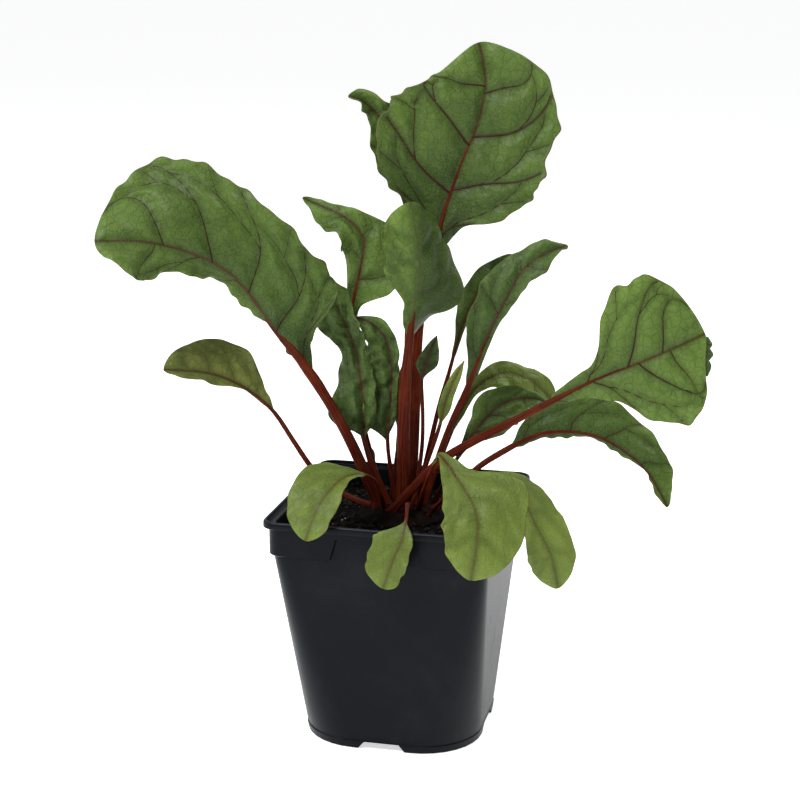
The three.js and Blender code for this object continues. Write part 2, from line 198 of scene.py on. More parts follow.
# %% Finish
class Finish:
    """The nodes of a material, or of the sky, being built."""

    def __init__(self, name, owner=None, shader="Principled BSDF", **values):
        self.material = owner or bpy.data.materials.new(name)
        self.material.use_nodes = True
        self.tree = self.material.node_tree
        self.shader = self.tree.nodes[shader]
        self.set(**values)

    def node(self, kind, settings=None, inputs=None, output=0):
        made = self.tree.nodes.new(kind)
        for setting, value in (settings or {}).items():
            setattr(made, setting, value)
        for socket, value in (inputs or {}).items():
            self.feed(made.inputs[socket], value)
        return Wire(self, made.outputs[output])

    def feed(self, socket, value):
        if isinstance(value, Wire):
            self.tree.links.new(value.socket, socket)
        elif socket.type == "RGBA":
            socket.default_value = (*value, 1)
        else:
            socket.default_value = value

    def set(self, **sockets):
        for socket, value in sockets.items():
            self.feed(self.shader.inputs[socket.replace("_", " ")], value)

    def mix(self, factor, first, second):
        return self.node("ShaderNodeMix", {"data_type": "RGBA"}, {0: factor, 6: first, 7: second}, output=2)

    def place(self):
        return self.node("ShaderNodeTexCoord", output=3)

    def stored(self, name):
        return self.node("ShaderNodeAttribute", {"attribute_name": name}, output=2)

    def noise(self, scale, detail, roughness, place):
        return self.node("ShaderNodeTexNoise", None, {
            "Vector": place, "Scale": scale, "Detail": detail, "Roughness": roughness})

    def cells(self, scale, place):
        """How far each place is from the edge of its cell."""
        return self.node("ShaderNodeTexVoronoi", {"feature": "DISTANCE_TO_EDGE"}, {
            "Vector": place, "Scale": scale})

    def bump(self, height, strength, distance):
        return self.node("ShaderNodeBump", None, {
            "Height": height, "Strength": strength, "Distance": distance})

    def done(self):
        print(self.material.name, "has", len(self.tree.nodes), "nodes")
        return self.material


def shade(colour, share):
    """A colour made darker or brighter."""
    return tuple(part * share for part in colour)


print("finishes can mix, read stored numbers, and add noise, cells and bumps")

# %% [markdown]
# ## Sky
# The surroundings are a white wall behind the plant and a dim room in front of it. A sky that is white all
# round would lay a pale haze over every leaf and over the pot's front, so it fades with distance behind.

# %% Sky
world = bpy.data.worlds.new("studio")
bpy.context.scene.world = world
sky = Finish("studio", world, "Background", Strength=0.62)
depth = sky.node("ShaderNodeSeparateXYZ", None, {0: sky.node("ShaderNodeTexCoord")}, output=1)
sky.set(Color=sky.mix(depth.between(-0.6, 0.75), (0.30, 0.31, 0.33), (1.0, 1.0, 1.0)))
sky.done()

# %% [markdown]
# ## The pot's finish
# The pot is black polypropylene, satin from the mould, with a fine grain, faint smears of dried water and
# a paler line where the rim rubs on trays. One grey plastic would look like a toy, so three noises of very
# different size change its colour and its gloss together. The mesh says where the rim is worn.


# %% Pot finish
def pot_finish():
    finish = Finish("black_plastic", Specular_IOR_Level=0.09)
    place = finish.place()
    smears = finish.noise(28, 5, 0.62, place).between(0.5, 0.78)
    grain = finish.noise(900, 2, 0.5, place)
    dust = finish.noise(150, 4, 0.7, place).between(0.55, 0.8)
    bloom = (smears * 0.22 + dust * 0.14 + finish.stored("worn") * 0.4).clamp()
    finish.set(Base_Color=finish.mix(bloom, (0.0032, 0.0042, 0.0066), (0.022, 0.025, 0.031)))
    finish.set(Roughness=(0.3 + smears * 0.12 + grain * 0.06 + dust * 0.08).clamp(0.2, 0.8))
    finish.set(Normal=finish.bump(grain + dust * 0.3, 0.12, 0.0002))
    return finish.done()


black_plastic = pot_finish()

# %% [markdown]
# ## The compost's finish
# Damp compost is nearly black and has no shine. Brown fibres lie in it, and it dries paler in patches. The
# crumbs are too many to model, so the mesh carries the larger ones and a bump carries the smallest.


# %% Compost finish
def compost_finish():
    finish = Finish("compost", Specular_IOR_Level=0.03)
    place = finish.place()
    crumbs = finish.noise(420, 6, 0.7, place)
    fibres = finish.noise(1400, 3, 0.6, place).between(0.55, 0.75)
    damp = finish.noise(60, 3, 0.5, place)
    dark = finish.mix(damp, (0.0012, 0.001, 0.0009), (0.0045, 0.0033, 0.0026))
    finish.set(Base_Color=finish.mix(fibres * 0.35, dark, (0.024, 0.016, 0.010)))
    finish.set(Roughness=(0.8 + crumbs * 0.2).clamp())
    finish.set(Normal=finish.bump(crumbs + fibres * 0.4, 0.7, 0.0012))
    return finish.done()


compost = compost_finish()

# %% [markdown]
# ## The finish of the bits on the compost
# Crumbs, bark and pale grit share one finish. Each bit stores its own tone, from black through brown to
# cream, which is simpler than three materials and gives every bit a slightly different colour.


# %% Finish of crumbs, bark and grit
def chip_finish():
    finish = Finish("bark_and_grit", Specular_IOR_Level=0.1)
    rough = finish.noise(900, 4, 0.6, finish.place())
    tone = finish.stored("tone")
    brown = finish.mix(tone.between(0.0, 0.25), (0.005, 0.004, 0.003), (0.045, 0.024, 0.012))
    pale = finish.mix(tone.between(0.3, 1.0), brown, (0.32, 0.28, 0.22))
    finish.set(Base_Color=finish.mix(rough * 0.5, pale, (0.012, 0.008, 0.006)))
    finish.set(Roughness=(0.7 + rough * 0.25).clamp())
    finish.set(Normal=finish.bump(rough, 0.5, 0.0004))
    return finish.done()


bark_and_grit = chip_finish()

# %% [markdown]
# ## The leaf finish
# A chard leaf is waxy and only a little shiny. It is fresh green towards its tip and margin, bluish and
# darker low down, dark red-brown over the veins, and paler and duller underneath. Beside the veins, where
# the skin sinks into grooves, it is darker as painted shade, and the half of a blade that bends over is
# darker as painted shade too.
# Between the veins runs a network of tiny ones, as cells of two sizes that tint and dent the skin. The
# mesh stores how near a vein, the margin and the tip each point is, so the colours follow the shape.


# %% Leaf finish
def leaf_finish(name, deep, fresh, back, dark_lines):
    finish = Finish(name, Specular_IOR_Level=0.14, Coat_Roughness=0.3)
    place = finish.place()
    cloud = finish.noise(34, 4, 0.6, place)
    blotch = finish.noise(110, 4, 0.6, place)
    speck = finish.noise(2300, 2, 0.5, place)
    lines = 1 - finish.cells(300, place).between(0.0, 0.13)
    fine_lines = 1 - finish.cells(850, place).between(0.0, 0.2)
    vein, edge = finish.stored("vein"), finish.stored("edge")
    under, bright = finish.stored("under"), finish.stored("bright")
    # This mixes each leaf's freshness towards its tip and margin with painted shade: bright is lowered on
    # the half of a blade that bends over.
    freshness_and_painted_shade = (finish.stored("tipward") * 0.6 + edge * 0.4 + (cloud - 0.5) * 0.9 + bright - 0.17).clamp()
    skin = finish.mix(freshness_and_painted_shade, deep, fresh)
    skin = finish.mix(bright.between(0.6, 1.0) * 0.8, skin, (0.165, 0.172, 0.036))
    skin = finish.mix((blotch.between(0.5, 0.72) * 0.4).clamp(), skin, shade(deep, 0.8))
    skin = finish.mix(lines * (0.35 * dark_lines), skin, shade(deep, 0.55))
    skin = finish.mix(fine_lines * 0.15, skin, shade(fresh, 1.25))
    # Painted shade: a halo beside each vein, where the puffed skin sinks into a groove, is darkened.
    skin = finish.mix(vein.between(0.1, 0.45) * 0.35, skin, shade(deep, 0.6))
    skin = finish.mix(edge.between(0.965, 1.0) * 0.55, skin, (0.10, 0.085, 0.025))
    skin = finish.mix(vein.between(0.35, 0.85) * dark_lines, skin, (0.030, 0.012, 0.007))
    skin = finish.mix(finish.stored("rib") * 0.9, skin, (0.075, 0.018, 0.007))
    skin = finish.mix(under * 0.55, skin, back)
    finish.set(Base_Color=finish.mix(speck.between(0.68, 0.76) * 0.3, skin, shade(fresh, 2.4)))
    finish.set(Roughness=(0.4 + 0.16 * blotch + 0.1 * under).clamp(0.2, 0.8))
    finish.set(Coat_Weight=(0.045 - 0.04 * under).clamp())
    relief = (1 - lines) * 0.5 + (1 - fine_lines) * 0.2 + speck * 0.08 + blotch * 0.5
    finish.set(Normal=finish.bump(relief, 0.45, 0.0006))
    return finish.done()


print("the leaf finish is ready to be made in several greens")

# %% [markdown]
# ## Three greens
# Grown leaves are a cool mid green, the oldest are darker, and the small ones on the rim are a pale yellow
# green. One finish made three times keeps them the same plant.

# %% Three greens
# Each has its deep, fresh and lower-side colour, and how dark the skin is over the veins.
greens = {
    "leaf_green": ((0.031, 0.055, 0.011), (0.126, 0.204, 0.037), (0.05, 0.09, 0.025), 0.7),
    "leaf_dark": ((0.023, 0.045, 0.011), (0.090, 0.146, 0.032), (0.04, 0.068, 0.02), 0.7),
    "leaf_light": ((0.082, 0.118, 0.019), (0.178, 0.240, 0.044), (0.11, 0.16, 0.035), 0.25),
}
leaf_finishes = {}
for slot, colours in greens.items():
    leaf_finishes[slot] = leaf_finish(slot.replace("leaf", "chard"), *colours)

# %% [markdown]
# ## The stalk finish
# The stalks are brick red, nearly black-red at the foot, and browner where they run into the blade. Fine
# ridges run along them, so their noise is laid out along and around the stalk instead of in space: that way
# the streaks bend with it. The ridges dent the skin and are also painted a paler orange-red, as painted
# highlights along them.


# %% Stalk finish
def stalk_finish():
    finish = Finish("red_stalk", Specular_IOR_Level=0.035, Coat_Roughness=0.25)
    along = finish.stored("along")
    unrolled = finish.node("ShaderNodeCombineXYZ", None, {"X": finish.stored("around") * 9, "Y": along * 3})
    ridges = finish.node("ShaderNodeTexNoise", {"noise_dimensions": "2D"},
                         {"Vector": unrolled, "Scale": 2.4, "Detail": 3.0})
    place = finish.place()
    cloud = finish.noise(90, 4, 0.6, place)
    scars = finish.noise(600, 3, 0.6, place).between(0.62, 0.75)
    foot = finish.mix(along.between(0.0, 0.25), (0.040, 0.003, 0.002), (0.068, 0.007, 0.003))
    red = finish.mix(along.between(0.35, 0.85), foot, (0.046, 0.011, 0.005))
    red = finish.mix(cloud.between(0.45, 0.7) * 0.5, red, (0.14, 0.026, 0.008))
    # Painted highlight: the ridges are made paler orange-red, as if they caught the light.
    red = finish.mix(ridges.between(0.48, 0.7) * 0.5, red, (0.19, 0.046, 0.014))
    finish.set(Base_Color=finish.mix(scars * 0.35, red, (0.03, 0.006, 0.004)))
    finish.set(Roughness=(0.3 + 0.2 * cloud).clamp())
    finish.set(Coat_Weight=(0.01 + 0.04 * ridges).clamp())
    finish.set(Normal=finish.bump(ridges + cloud * 0.3, 0.4, 0.0006))
    return finish.done()


red_stalk = stalk_finish()

# %% [markdown]
# ## The vein finish
# The side veins are thinner and darker than the stalks and turn greenish towards the margin, where the
# blade's own colour takes over. The place along each vein is stored in the mesh, so the change follows it.


# %% Vein finish
def vein_finish():
    finish = Finish("dark_vein", Specular_IOR_Level=0.12)
    cloud = finish.noise(200, 3, 0.6, finish.place())
    red = finish.mix(finish.stored("along"), (0.032, 0.007, 0.004), (0.030, 0.020, 0.008))
    finish.set(Base_Color=finish.mix(cloud * 0.4, red, (0.022, 0.016, 0.008)))
    finish.set(Roughness=(0.38 + 0.2 * cloud).clamp())
    finish.set(Normal=finish.bump(cloud, 0.25, 0.0003))
    return finish.done()


dark_vein = vein_finish()

# %% [markdown]
# ## The crown's finish
# The crown is old stalk tissue, scaly and stained by compost, so it is darker and rougher than the stalks
# that rise from it. Cells draw the edges of its scales.


# %% Crown finish
def crown_finish():
    finish = Finish("crown_skin", Specular_IOR_Level=0.03)
    place = finish.place()
    cloud = finish.noise(140, 5, 0.65, place)
    scales = finish.cells(260, place)
    skin = finish.mix(cloud.between(0.35, 0.7), (0.002, 0.0015, 0.0012), (0.010, 0.0028, 0.0018))
    finish.set(Base_Color=finish.mix((1 - scales.between(0.0, 0.2)) * 0.5, skin, (0.003, 0.002, 0.0015)))
    finish.set(Roughness=(0.5 + 0.4 * cloud).clamp())
    finish.set(Normal=finish.bump(cloud + scales, 0.6, 0.001))
    return finish.done()


crown_skin = crown_finish()

# %% [markdown]
# ## Meshes from rows of points
# Pots, stalks and blades are all rows of points joined to the next row. One helper collects rows from
# several shapes into one mesh, with the finish of each face and a few stored numbers per point, which the
# finishes read back.


# %% Mesh collector
class Collector:
    """Gathers points, faces and stored numbers in millimetres, and makes one object of them."""

    def __init__(self, *stored):
        self.points = []
        self.faces = []
        self.paint = []
        self.count = 0
        self.stored = {name: [] for name in stored}

    def add(self, points, faces, paint=0, **stored):
        points = np.asarray(points, float).reshape(-1, 3)
        self.points.append(points)
        self.faces.extend(tuple(int(corner) + self.count for corner in face) for face in faces)
        self.paint.extend([paint] * len(faces))
        for name, rows in self.stored.items():
            rows.append(np.broadcast_to(np.asarray(stored.get(name, 0.0), float), len(points)))
        self.count += len(points)

    def build(self, name, *finishes):
        mesh = bpy.data.meshes.new(name)
        points = np.concatenate(self.points) * mm
        mesh.from_pydata(points.tolist(), [], self.faces)
        for finish in finishes:
            mesh.materials.append(finish)
        mesh.polygons.foreach_set("material_index", self.paint)
        mesh.polygons.foreach_set("use_smooth", [True] * len(self.paint))
        for stored, rows in self.stored.items():
            mesh.attributes.new(stored, "FLOAT", "POINT").data.foreach_set("value", np.concatenate(rows))
        mesh.update()
        return add_object(name, mesh)


print("a collector gathers points, faces and stored numbers")

# %% [markdown]
# ## Rings and ends
# A wall, a stalk or a knob is a row of closed rings. Each ring is joined to the next by four-cornered faces,
# and a middle point closes each end, because an open end would show the inside of the skin.


# %% Rings
def ring_faces(rows, around):
    """Faces between closed rings of points that follow each other."""
    row, step = np.meshgrid(np.arange(rows - 1), np.arange(around), indexing="ij")
    after = (step + 1) % around
    here, above = row * around, (row + 1) * around
    corners = [here + step, here + after, above + after, above + step]
    return np.stack([corner.ravel() for corner in corners], 1).tolist()


def closed_rings(rings):
    """Points and faces of a tube of rings, closed by a middle point at each end."""
    rings = np.asarray(rings, float)
    rows, around = rings.shape[:2]
    points = np.concatenate([rings.reshape(-1, 3), rings[0].mean(0)[None], rings[-1].mean(0)[None]])
    faces = ring_faces(rows, around)
    low, high = rows * around, rows * around + 1
    for step in range(around):
        after = (step + 1) % around
        faces.append((low, after, step))
        faces.append((high, (rows - 1) * around + step, (rows - 1) * around + after))
    return points, faces


print("a tube of 3 rings of 8 points has", len(ring_faces(3, 8)), "side faces")

# %% [markdown]
# ## Smoothing between rows
# The frame gives a leaf as few rows, and the finished leaf needs many. A Catmull-Rom curve passes through
# every given row without a corner. Ripples are sums of sine waves, which are smooth and repeat exactly.


# %% Curves and ripples
def unit(vectors):
    return vectors / np.maximum(np.linalg.norm(vectors, axis=-1, keepdims=True), 1e-9)


def smooth_step(value, low, high):
    share = np.clip((np.asarray(value, float) - low) / (high - low), 0, 1)
    return share * share * (3 - 2 * share)


def along_rows(values, places):
    """Catmull-Rom through evenly spaced rows of values, at places counted in rows."""
    values = np.asarray(values, float)
    places = np.clip(np.asarray(places, float), 0, len(values) - 1)
    at = np.minimum(places.astype(int), len(values) - 2)
    part = places - at
    before = values[np.maximum(at - 1, 0)]
    here, after = values[at], values[at + 1]
    beyond = values[np.minimum(at + 2, len(values) - 1)]
    while part.ndim < here.ndim:
        part = part[..., None]
    return 0.5 * (2 * here + (after - before) * part + (2 * before - 5 * here + 4 * after - beyond) * part**2
                  + (3 * here - before - 3 * after + beyond) * part**3)


def ripple(across, along, scale, dice, waves=7):
    """Soft random hills about as wide as scale, between about -1 and 1."""
    total = np.zeros(np.broadcast(across, along).shape)
    for _ in range(waves):
        heading = dice.uniform(0, 2 * math.pi)
        pitch = 2 * math.pi / (scale * dice.uniform(1.3, 2.8))
        forward = across * math.cos(heading) + along * math.sin(heading)
        total += np.sin(pitch * forward + dice.uniform(0, 6.3))
    return total / math.sqrt(waves)


print("half way from 0 to 1 the eased step is", float(smooth_step(0.5, 0, 1)))

# %% [markdown]
# ## The pot
# A nursery pot is vacuum formed or injection moulded with a thin wall. It is nearly round-cornered at the
# base and sharp-cornered at the rim, which is why it stacks. Under the plain lip band a collar stands
# proud at the corners and stops short at the middle of each side, in a gap with slanted ends. A box with
# bevels can't change its corner radius, so the wall is a stack of rounded squares. Two neighbouring columns
# of points follow the edge of the notch at the base and the slanted collar ends higher up.


# %% Rounded squares
rim = (pot_high[0] - pot_low[0]) / 2
pot_top = pot_high[2]
corner_steps = 9
inner_shares = (0.0, 0.3, 0.6, 0.85)
outer_shares = (0.15, 0.4, 0.7, 0.93)
edge_gap = 0.25


def side_columns(straight, edge):
    """Places along half a side, with a close pair at the edge: (place, inside the edge)."""
    edge = min(edge, straight - 1.2)
    places = [(edge * share, True) for share in inner_shares]
    places += [(edge - edge_gap, True), (edge + edge_gap, False)]
    rest = straight - edge - edge_gap
    return places + [(edge + edge_gap + rest * share, False) for share in outer_shares]


def wall_ring(half, corner, height, edge, half_inside=None):
    """A rounded square. Between the edges of each side it lies at half_inside."""
    half_inside = half if half_inside is None else half_inside
    straight = half - corner
    columns = side_columns(straight, edge)
    run = [(-place, inside) for place, inside in reversed(columns[1:])] + columns
    ring = []
    for side in range(4):
        turn = side * math.pi / 2
        outward = np.array((math.sin(turn), -math.cos(turn)))
        across = np.array((math.cos(turn), math.sin(turn)))
        for place, inside in run:
            ring.append((*(outward * (half_inside if inside else half) + across * place), height))
        for step in range(corner_steps):
            angle = math.pi / 2 * step / (corner_steps - 1)
            reach = outward * math.cos(angle) + across * math.sin(angle)
            ring.append((*((outward + across) * straight + reach * corner), height))
    return ring


print("a wall ring has", len(wall_ring(rim, 5, 0, 9)), "points")

# %% [markdown]
# ## The wall's sizes
# The body widens evenly from base to collar while its corners tighten. The collar, the plain band and the
# lip are steps on it. Their sizes are named once here, so that the inside and the outside stay in step.

# %% Sizes of the wall
body_half = rim - 3.1
base_half = body_half - 6.7
collar_half = rim - 1.8
lip_low = pot_top - 2.8
collar_low = lip_low - 11.2
band_low = pot_top - 5.6
wall = 1.3
base_corner = 24
body_corner = 5.5
recess_low_half = 18
recess_top_half = 15.6
notch_half = 9.25
notch_narrowing = 2.5
notch_height = 3
plain_edge = 9.0


def body_at(height, inset=0.0):
    """Half width and corner radius of the tapered body."""
    share = min(height / collar_low, 1)
    half = base_half + (body_half - base_half) * share - inset
    return half, max(base_corner + (body_corner - base_corner) * share - inset * 0.6, 3.6)


def recess_edge(height):
    """Half the width of the gap between two corner collars."""
    share = min(max((height - collar_low) / (band_low - collar_low), 0), 1)
    return recess_low_half - (recess_low_half - recess_top_half) * share


def notch_edge(height):
    """Half the width of the drainage notch."""
    return notch_half - notch_narrowing * height / notch_height


print("body", round(2 * base_half, 1), "mm wide at the base and", round(2 * body_half, 1), "at the collar")

# %% [markdown]
# ## The wall
# The rings run from the underside, up the outside, over the lip and down the inside to the floor, so the
# pot is one closed skin of real thickness. A rub mark is stored where the rim and the lip's lower edge stand
# out, because that is where a tray wears the plastic pale.

# %% The wall, from the underside up and down again inside
notch_depth = base_half - 6.2
notch_end_half = 6.83
rings = [wall_ring(base_half - 12, 13, 0.5, 6), wall_ring(base_half - 7, 17.4, 0.5, 9.2)]
rings.append(wall_ring(base_half - 1.2, 23.2, 0.0, notch_half, notch_depth))
for height in (0.25, 1.4, 2.8):
    half, corner = body_at(height)
    rings.append(wall_ring(half + 0.22, corner, height, notch_edge(height), notch_depth))
half, corner = body_at(3.1)
rings.append(wall_ring(half + 0.22, corner, 3.1, notch_edge(2.9), half + 0.22))
rings.append(wall_ring(half, corner, 3.45, notch_edge(2.9), half))
for height in np.linspace(6, collar_low - 0.3, 22):
    half, corner = body_at(height)
    drift = smooth_step(height, 4, 30)
    rings.append(wall_ring(half, corner, height, notch_end_half * (1 - drift) + recess_low_half * drift))
half, corner = body_at(collar_low)
rings.append(wall_ring(collar_half - 0.35, corner, collar_low, recess_low_half, body_half))
rings.append(wall_ring(collar_half, corner, collar_low + 0.4, recess_low_half - 0.1, body_half))
for height in np.linspace(collar_low + 2, band_low - 0.3, 4):
    rings.append(wall_ring(collar_half, corner, height, recess_edge(height), body_half))
rings.append(wall_ring(collar_half, corner, band_low - 0.02, recess_top_half, body_half))
rings.append(wall_ring(collar_half, corner, band_low + 0.3, recess_top_half))
rings.append(wall_ring(collar_half, corner, lip_low - 0.3, recess_top_half))
rings.append(wall_ring(collar_half + 0.3, corner, lip_low - 0.02, recess_top_half))
rings.append(wall_ring(rim - 0.3, corner, lip_low, recess_top_half))
rings.append(wall_ring(rim, corner, lip_low + 0.3, recess_top_half))
for height in (lip_low + 1, pot_top - 1.2):
    rings.append(wall_ring(rim, corner, height, recess_top_half))
for inset, drop in ((0.08, 0.6), (0.3, 0.18), (0.62, 0.0), (1.0, 0.02), (1.25, 0.2)):
    rings.append(wall_ring(rim - inset, corner - inset * 0.5, pot_top - drop, recess_top_half))
rings.append(wall_ring(rim - wall, corner - wall * 0.6, lip_low + wall + 0.3, recess_top_half))
rings.append(wall_ring(rim - wall - 0.3, corner - wall * 0.7, lip_low + wall, recess_top_half))
rings.append(wall_ring(body_half - wall + 0.3, corner - wall, lip_low + wall - 0.1, recess_top_half))
rings.append(wall_ring(body_half - wall, corner - wall, lip_low + wall - 0.6, recess_top_half))
for height in np.linspace(collar_low, 5, 8):
    half, corner = body_at(height, wall)
    rings.append(wall_ring(half, corner, height, plain_edge))
half, corner = body_at(4, wall)
rings.append(wall_ring(half - 0.8, corner, 3.7, plain_edge))
rings.append(wall_ring(half - 10, corner - 8, 3.6, 6.0))
pot_points, pot_faces = closed_rings(rings)
pot_rub = smooth_step(pot_points[:, 2], pot_top - 0.9, pot_top - 0.1)
pot_rub = np.maximum(pot_rub, smooth_step(np.abs(pot_points[:, 2] - lip_low - 0.2), 0.5, 0.1) * 0.5)
pot_parts = Collector("worn")
pot_parts.add(pot_points, pot_faces, worn=pot_rub)
pot_piece = pot_parts.build("nursery_pot", black_plastic)
pot_piece.data.set_sharp_from_angle(angle=math.radians(38))
print("pot wall", len(rings), "rings of", len(rings[0]), "points")

# %% [markdown]
# ## The compost
# Peat-free compost is a heap of crumbs and fibres that settles a little unevenly and climbs around the
# crown. A particle simulation would be slow, so the surface is one closed block whose top is pushed up and
# down by fractal noise. Its sides follow the inside of the pot a little way off the wall.

# %% Compost block
soil_top = soil_high[2]
settled = soil_top - 0.6


def compost_height(x, y):
    """How far the surface stands above its average."""
    spot = Vector((x, y, 3.0))
    height = 1.1 * noise.fractal(spot * 0.05, 1.0, 2.0, 3) + 0.8 * noise.fractal(spot * 0.28, 0.8, 2.1, 4)
    return height + 0.35 * abs(noise.noise(spot * 1.3)) + 1.5 * math.exp(-(x * x + y * y) / 420)


soil_half = (soil_high[0] - soil_low[0]) / 2
soil_rings = []
for height in (4.2, 20, 45, 70, soil_top - 2.5):
    half, corner = body_at(height, wall + 0.35)
    soil_rings.append(wall_ring(half, corner, height, plain_edge))
outline = np.array(wall_ring(soil_half - 0.1, 4.2, 0.0, plain_edge))
for share in np.linspace(1.0, 0.02, 74):
    row = outline * share
    row[:, 2] = [settled + compost_height(x, y) for x, y in row[:, :2]]
    soil_rings.append(row)
soil_parts = Collector()
soil_parts.add(*closed_rings(soil_rings))
soil_piece = soil_parts.build("compost_block", compost)
print("compost surface", len(soil_rings), "rings")

# %% [markdown]
# ## Loose bits on the compost
# Crumbs of peat, flakes of bark and a little pale grit lie on top. Modelled bits throw their own small
# shadows, which a bump can't do. One joined mesh holds them all, since none of them is ever moved alone.


# %% Crumbs, bark and grit
def pebble(size, stretch, dice):
    """A rough lump: an icosphere with each corner pushed in or out."""
    lump = bmesh.new()
    bmesh.ops.create_icosphere(lump, subdivisions=2 if size > 0.9 else 1, radius=size)
    points = np.array([vertex.co for vertex in lump.verts]) * stretch
    points *= 1 + dice.uniform(-0.22, 0.22, (len(points), 1))
    faces = [[vertex.index for vertex in face.verts] for face in lump.faces]
    lump.free()
    heading = Matrix.Rotation(dice.uniform(0, 6.28), 3, "Z")
    tilt = Matrix.Rotation(dice.uniform(-0.5, 0.5), 3, "X")
    return points @ np.array(heading @ tilt).T, faces


dice = np.random.default_rng(11)
litter = Collector("tone")
# How many crumbs, flakes of bark and bits of grit, their sizes in mm, their shapes and their tones.
crumbs = (760, (0.4, 1.5), (1, 0.85, 0.7), (0.0, 0.02))
bark = (46, (0.8, 1.9), (1.6, 0.8, 0.4), (0.02, 0.2))
grit = (26, (0.35, 0.8), (1, 0.9, 0.8), (0.5, 1.0))
for count, sizes, stretch, tones in (crumbs, bark, grit):
    for _ in range(count):
        spot = dice.uniform(-1, 1, 2) * (soil_half - 2.6)
        size = dice.uniform(*sizes)
        points, faces = pebble(size, np.array(stretch), dice)
        height = settled + compost_height(*spot) + size * stretch[2] * 0.3
        litter.add(points + (*spot, height), faces, tone=dice.uniform(*tones))
litter_piece = litter.build("crumbs_bark_and_grit", bark_and_grit)
print("litter has", litter.count, "points")

# %% [markdown]
# ## Reading a leaf's frame
# A leaf's CAD solid is a chain of eight-pointed sections with a point at each end, so its midrib, its two
# edges and its upper side can be read straight from the mesh. That is safer than typing the curves again:
# the finished leaf follows the solid even if the solid changes.


# %% Sections of a leaf
def read_sections(node):
    """The rings of a leaf's CAD mesh, from foot to tip, as an array (ring, 8, 3), and its end point."""
    mesh = frame["nodes"][node].data
    mesh.calc_loop_triangles()
    numbers, places, merged = {}, [], []
    for vertex in mesh.vertices:
        key = tuple(round(c * 1e5) for c in vertex.co)
        if key not in numbers:
            numbers[key] = len(places)
            places.append(np.array(vertex.co) / mm)
        merged.append(numbers[key])
    third, beside = {}, {}
    for triangle in mesh.loop_triangles:
        a, b, c = (merged[corner] for corner in triangle.vertices)
        for first, second, last in ((a, b, c), (b, c, a), (c, a, b)):
            third[first, second] = last
            beside.setdefault(first, set()).add(second)
    ends = [point for point, around in beside.items() if len(around) == 8]
    root = np.array((0, 0, soil_high[2]))
    foot, tip = sorted(ends, key=lambda point: np.linalg.norm(places[point] - root))
    ring = [next(iter(beside[foot]))]
    while len(ring) < 8:
        ring.append(third[ring[-1], foot])
    rings = [ring]
    while True:
        ring = rings[-1]
        following = [third[ring[step], ring[(step + 1) % 8]] for step in range(8)]
        if following[0] == tip:
            break
        rings.append([following[(step - 1) % 8] for step in range(8)])
    return np.array([[places[point] for point in ring] for ring in rings]), places[tip]


leaf_nodes = sorted(name for name in frame["nodes"] if name.startswith("leaf_"))
print(len(leaf_nodes), "leaves, the first with", len(read_sections(leaf_nodes[0])[0]), "sections")

# %% [markdown]
# ## A leaf's bones
# Of the eight points of a section, the two furthest apart are the edges. The stalk's channelled side is the
# upper one, and on it the point stands nearer to the middle. The blade starts where the sections widen.


# %% Bones of every leaf
class Skeleton:
    """A leaf's midrib, edges and upper side, one row per CAD section."""

    def __init__(self, node):
        rings, tip = read_sections(node)
        stalk_ring = rings[1]
        spans = [np.linalg.norm(stalk_ring[step] - stalk_ring[step + 4]) for step in range(4)]
        edge = int(np.argmax(spans))
        middle = (stalk_ring[edge] + stalk_ring[edge + 4]) / 2
        above, below = (edge + 2) % 8, (edge + 6) % 8
        if np.linalg.norm(stalk_ring[above] - middle) > np.linalg.norm(stalk_ring[below] - middle):
            above, below = below, above
        top, bottom = rings[:, above], rings[:, below]
        self.middle = (top + 0.6 * bottom) / 1.6
        self.depth = np.linalg.norm(top - bottom, axis=1) / 1.6
        self.left, self.right = rings[:, edge], rings[:, edge + 4]
        self.up = unit(top - bottom)
        rightward = np.cross(self.middle[2] - self.middle[1], self.up[1])
        if (self.right[1] - self.left[1]) @ rightward < 0:
            self.left, self.right = self.right, self.left
        self.width = np.maximum(np.linalg.norm(self.left - self.middle, axis=1),
                                np.linalg.norm(self.right - self.middle, axis=1))
        wide = np.nonzero(self.width > np.maximum(1.5 * self.depth, self.width[1] * 1.25))[0]
        self.blade_at = max(int(wide[0]) - 1, 1) if len(wide) else 1
        for name in ("middle", "left", "right"):
            setattr(self, name, np.concatenate([getattr(self, name), tip[None]]))
        self.up = np.concatenate([self.up, self.up[-1:]])
        self.depth = np.append(self.depth, self.depth[-1] * 0.5)
        self.width = np.append(self.width, 0.0)
        self.length = np.append(0, np.cumsum(np.linalg.norm(np.diff(self.middle, axis=0), axis=1)))


skeletons = {name: Skeleton(name) for name in leaf_nodes}
for name, bones in skeletons.items():
    print(name, len(bones.middle), "rows, blade from row", bones.blade_at, "length", round(bones.length[-1]),
          "mm, widest", round(max(bones.width) * 2), "mm")

# %% [markdown]
# ## Outlines
# No two chard leaves have the same outline, and the two halves of one leaf differ as well, because the
# blades twist and partly roll as they grow. So each large leaf has its own two short rows of half widths.
# A leaf without them takes its outline from its CAD solid.

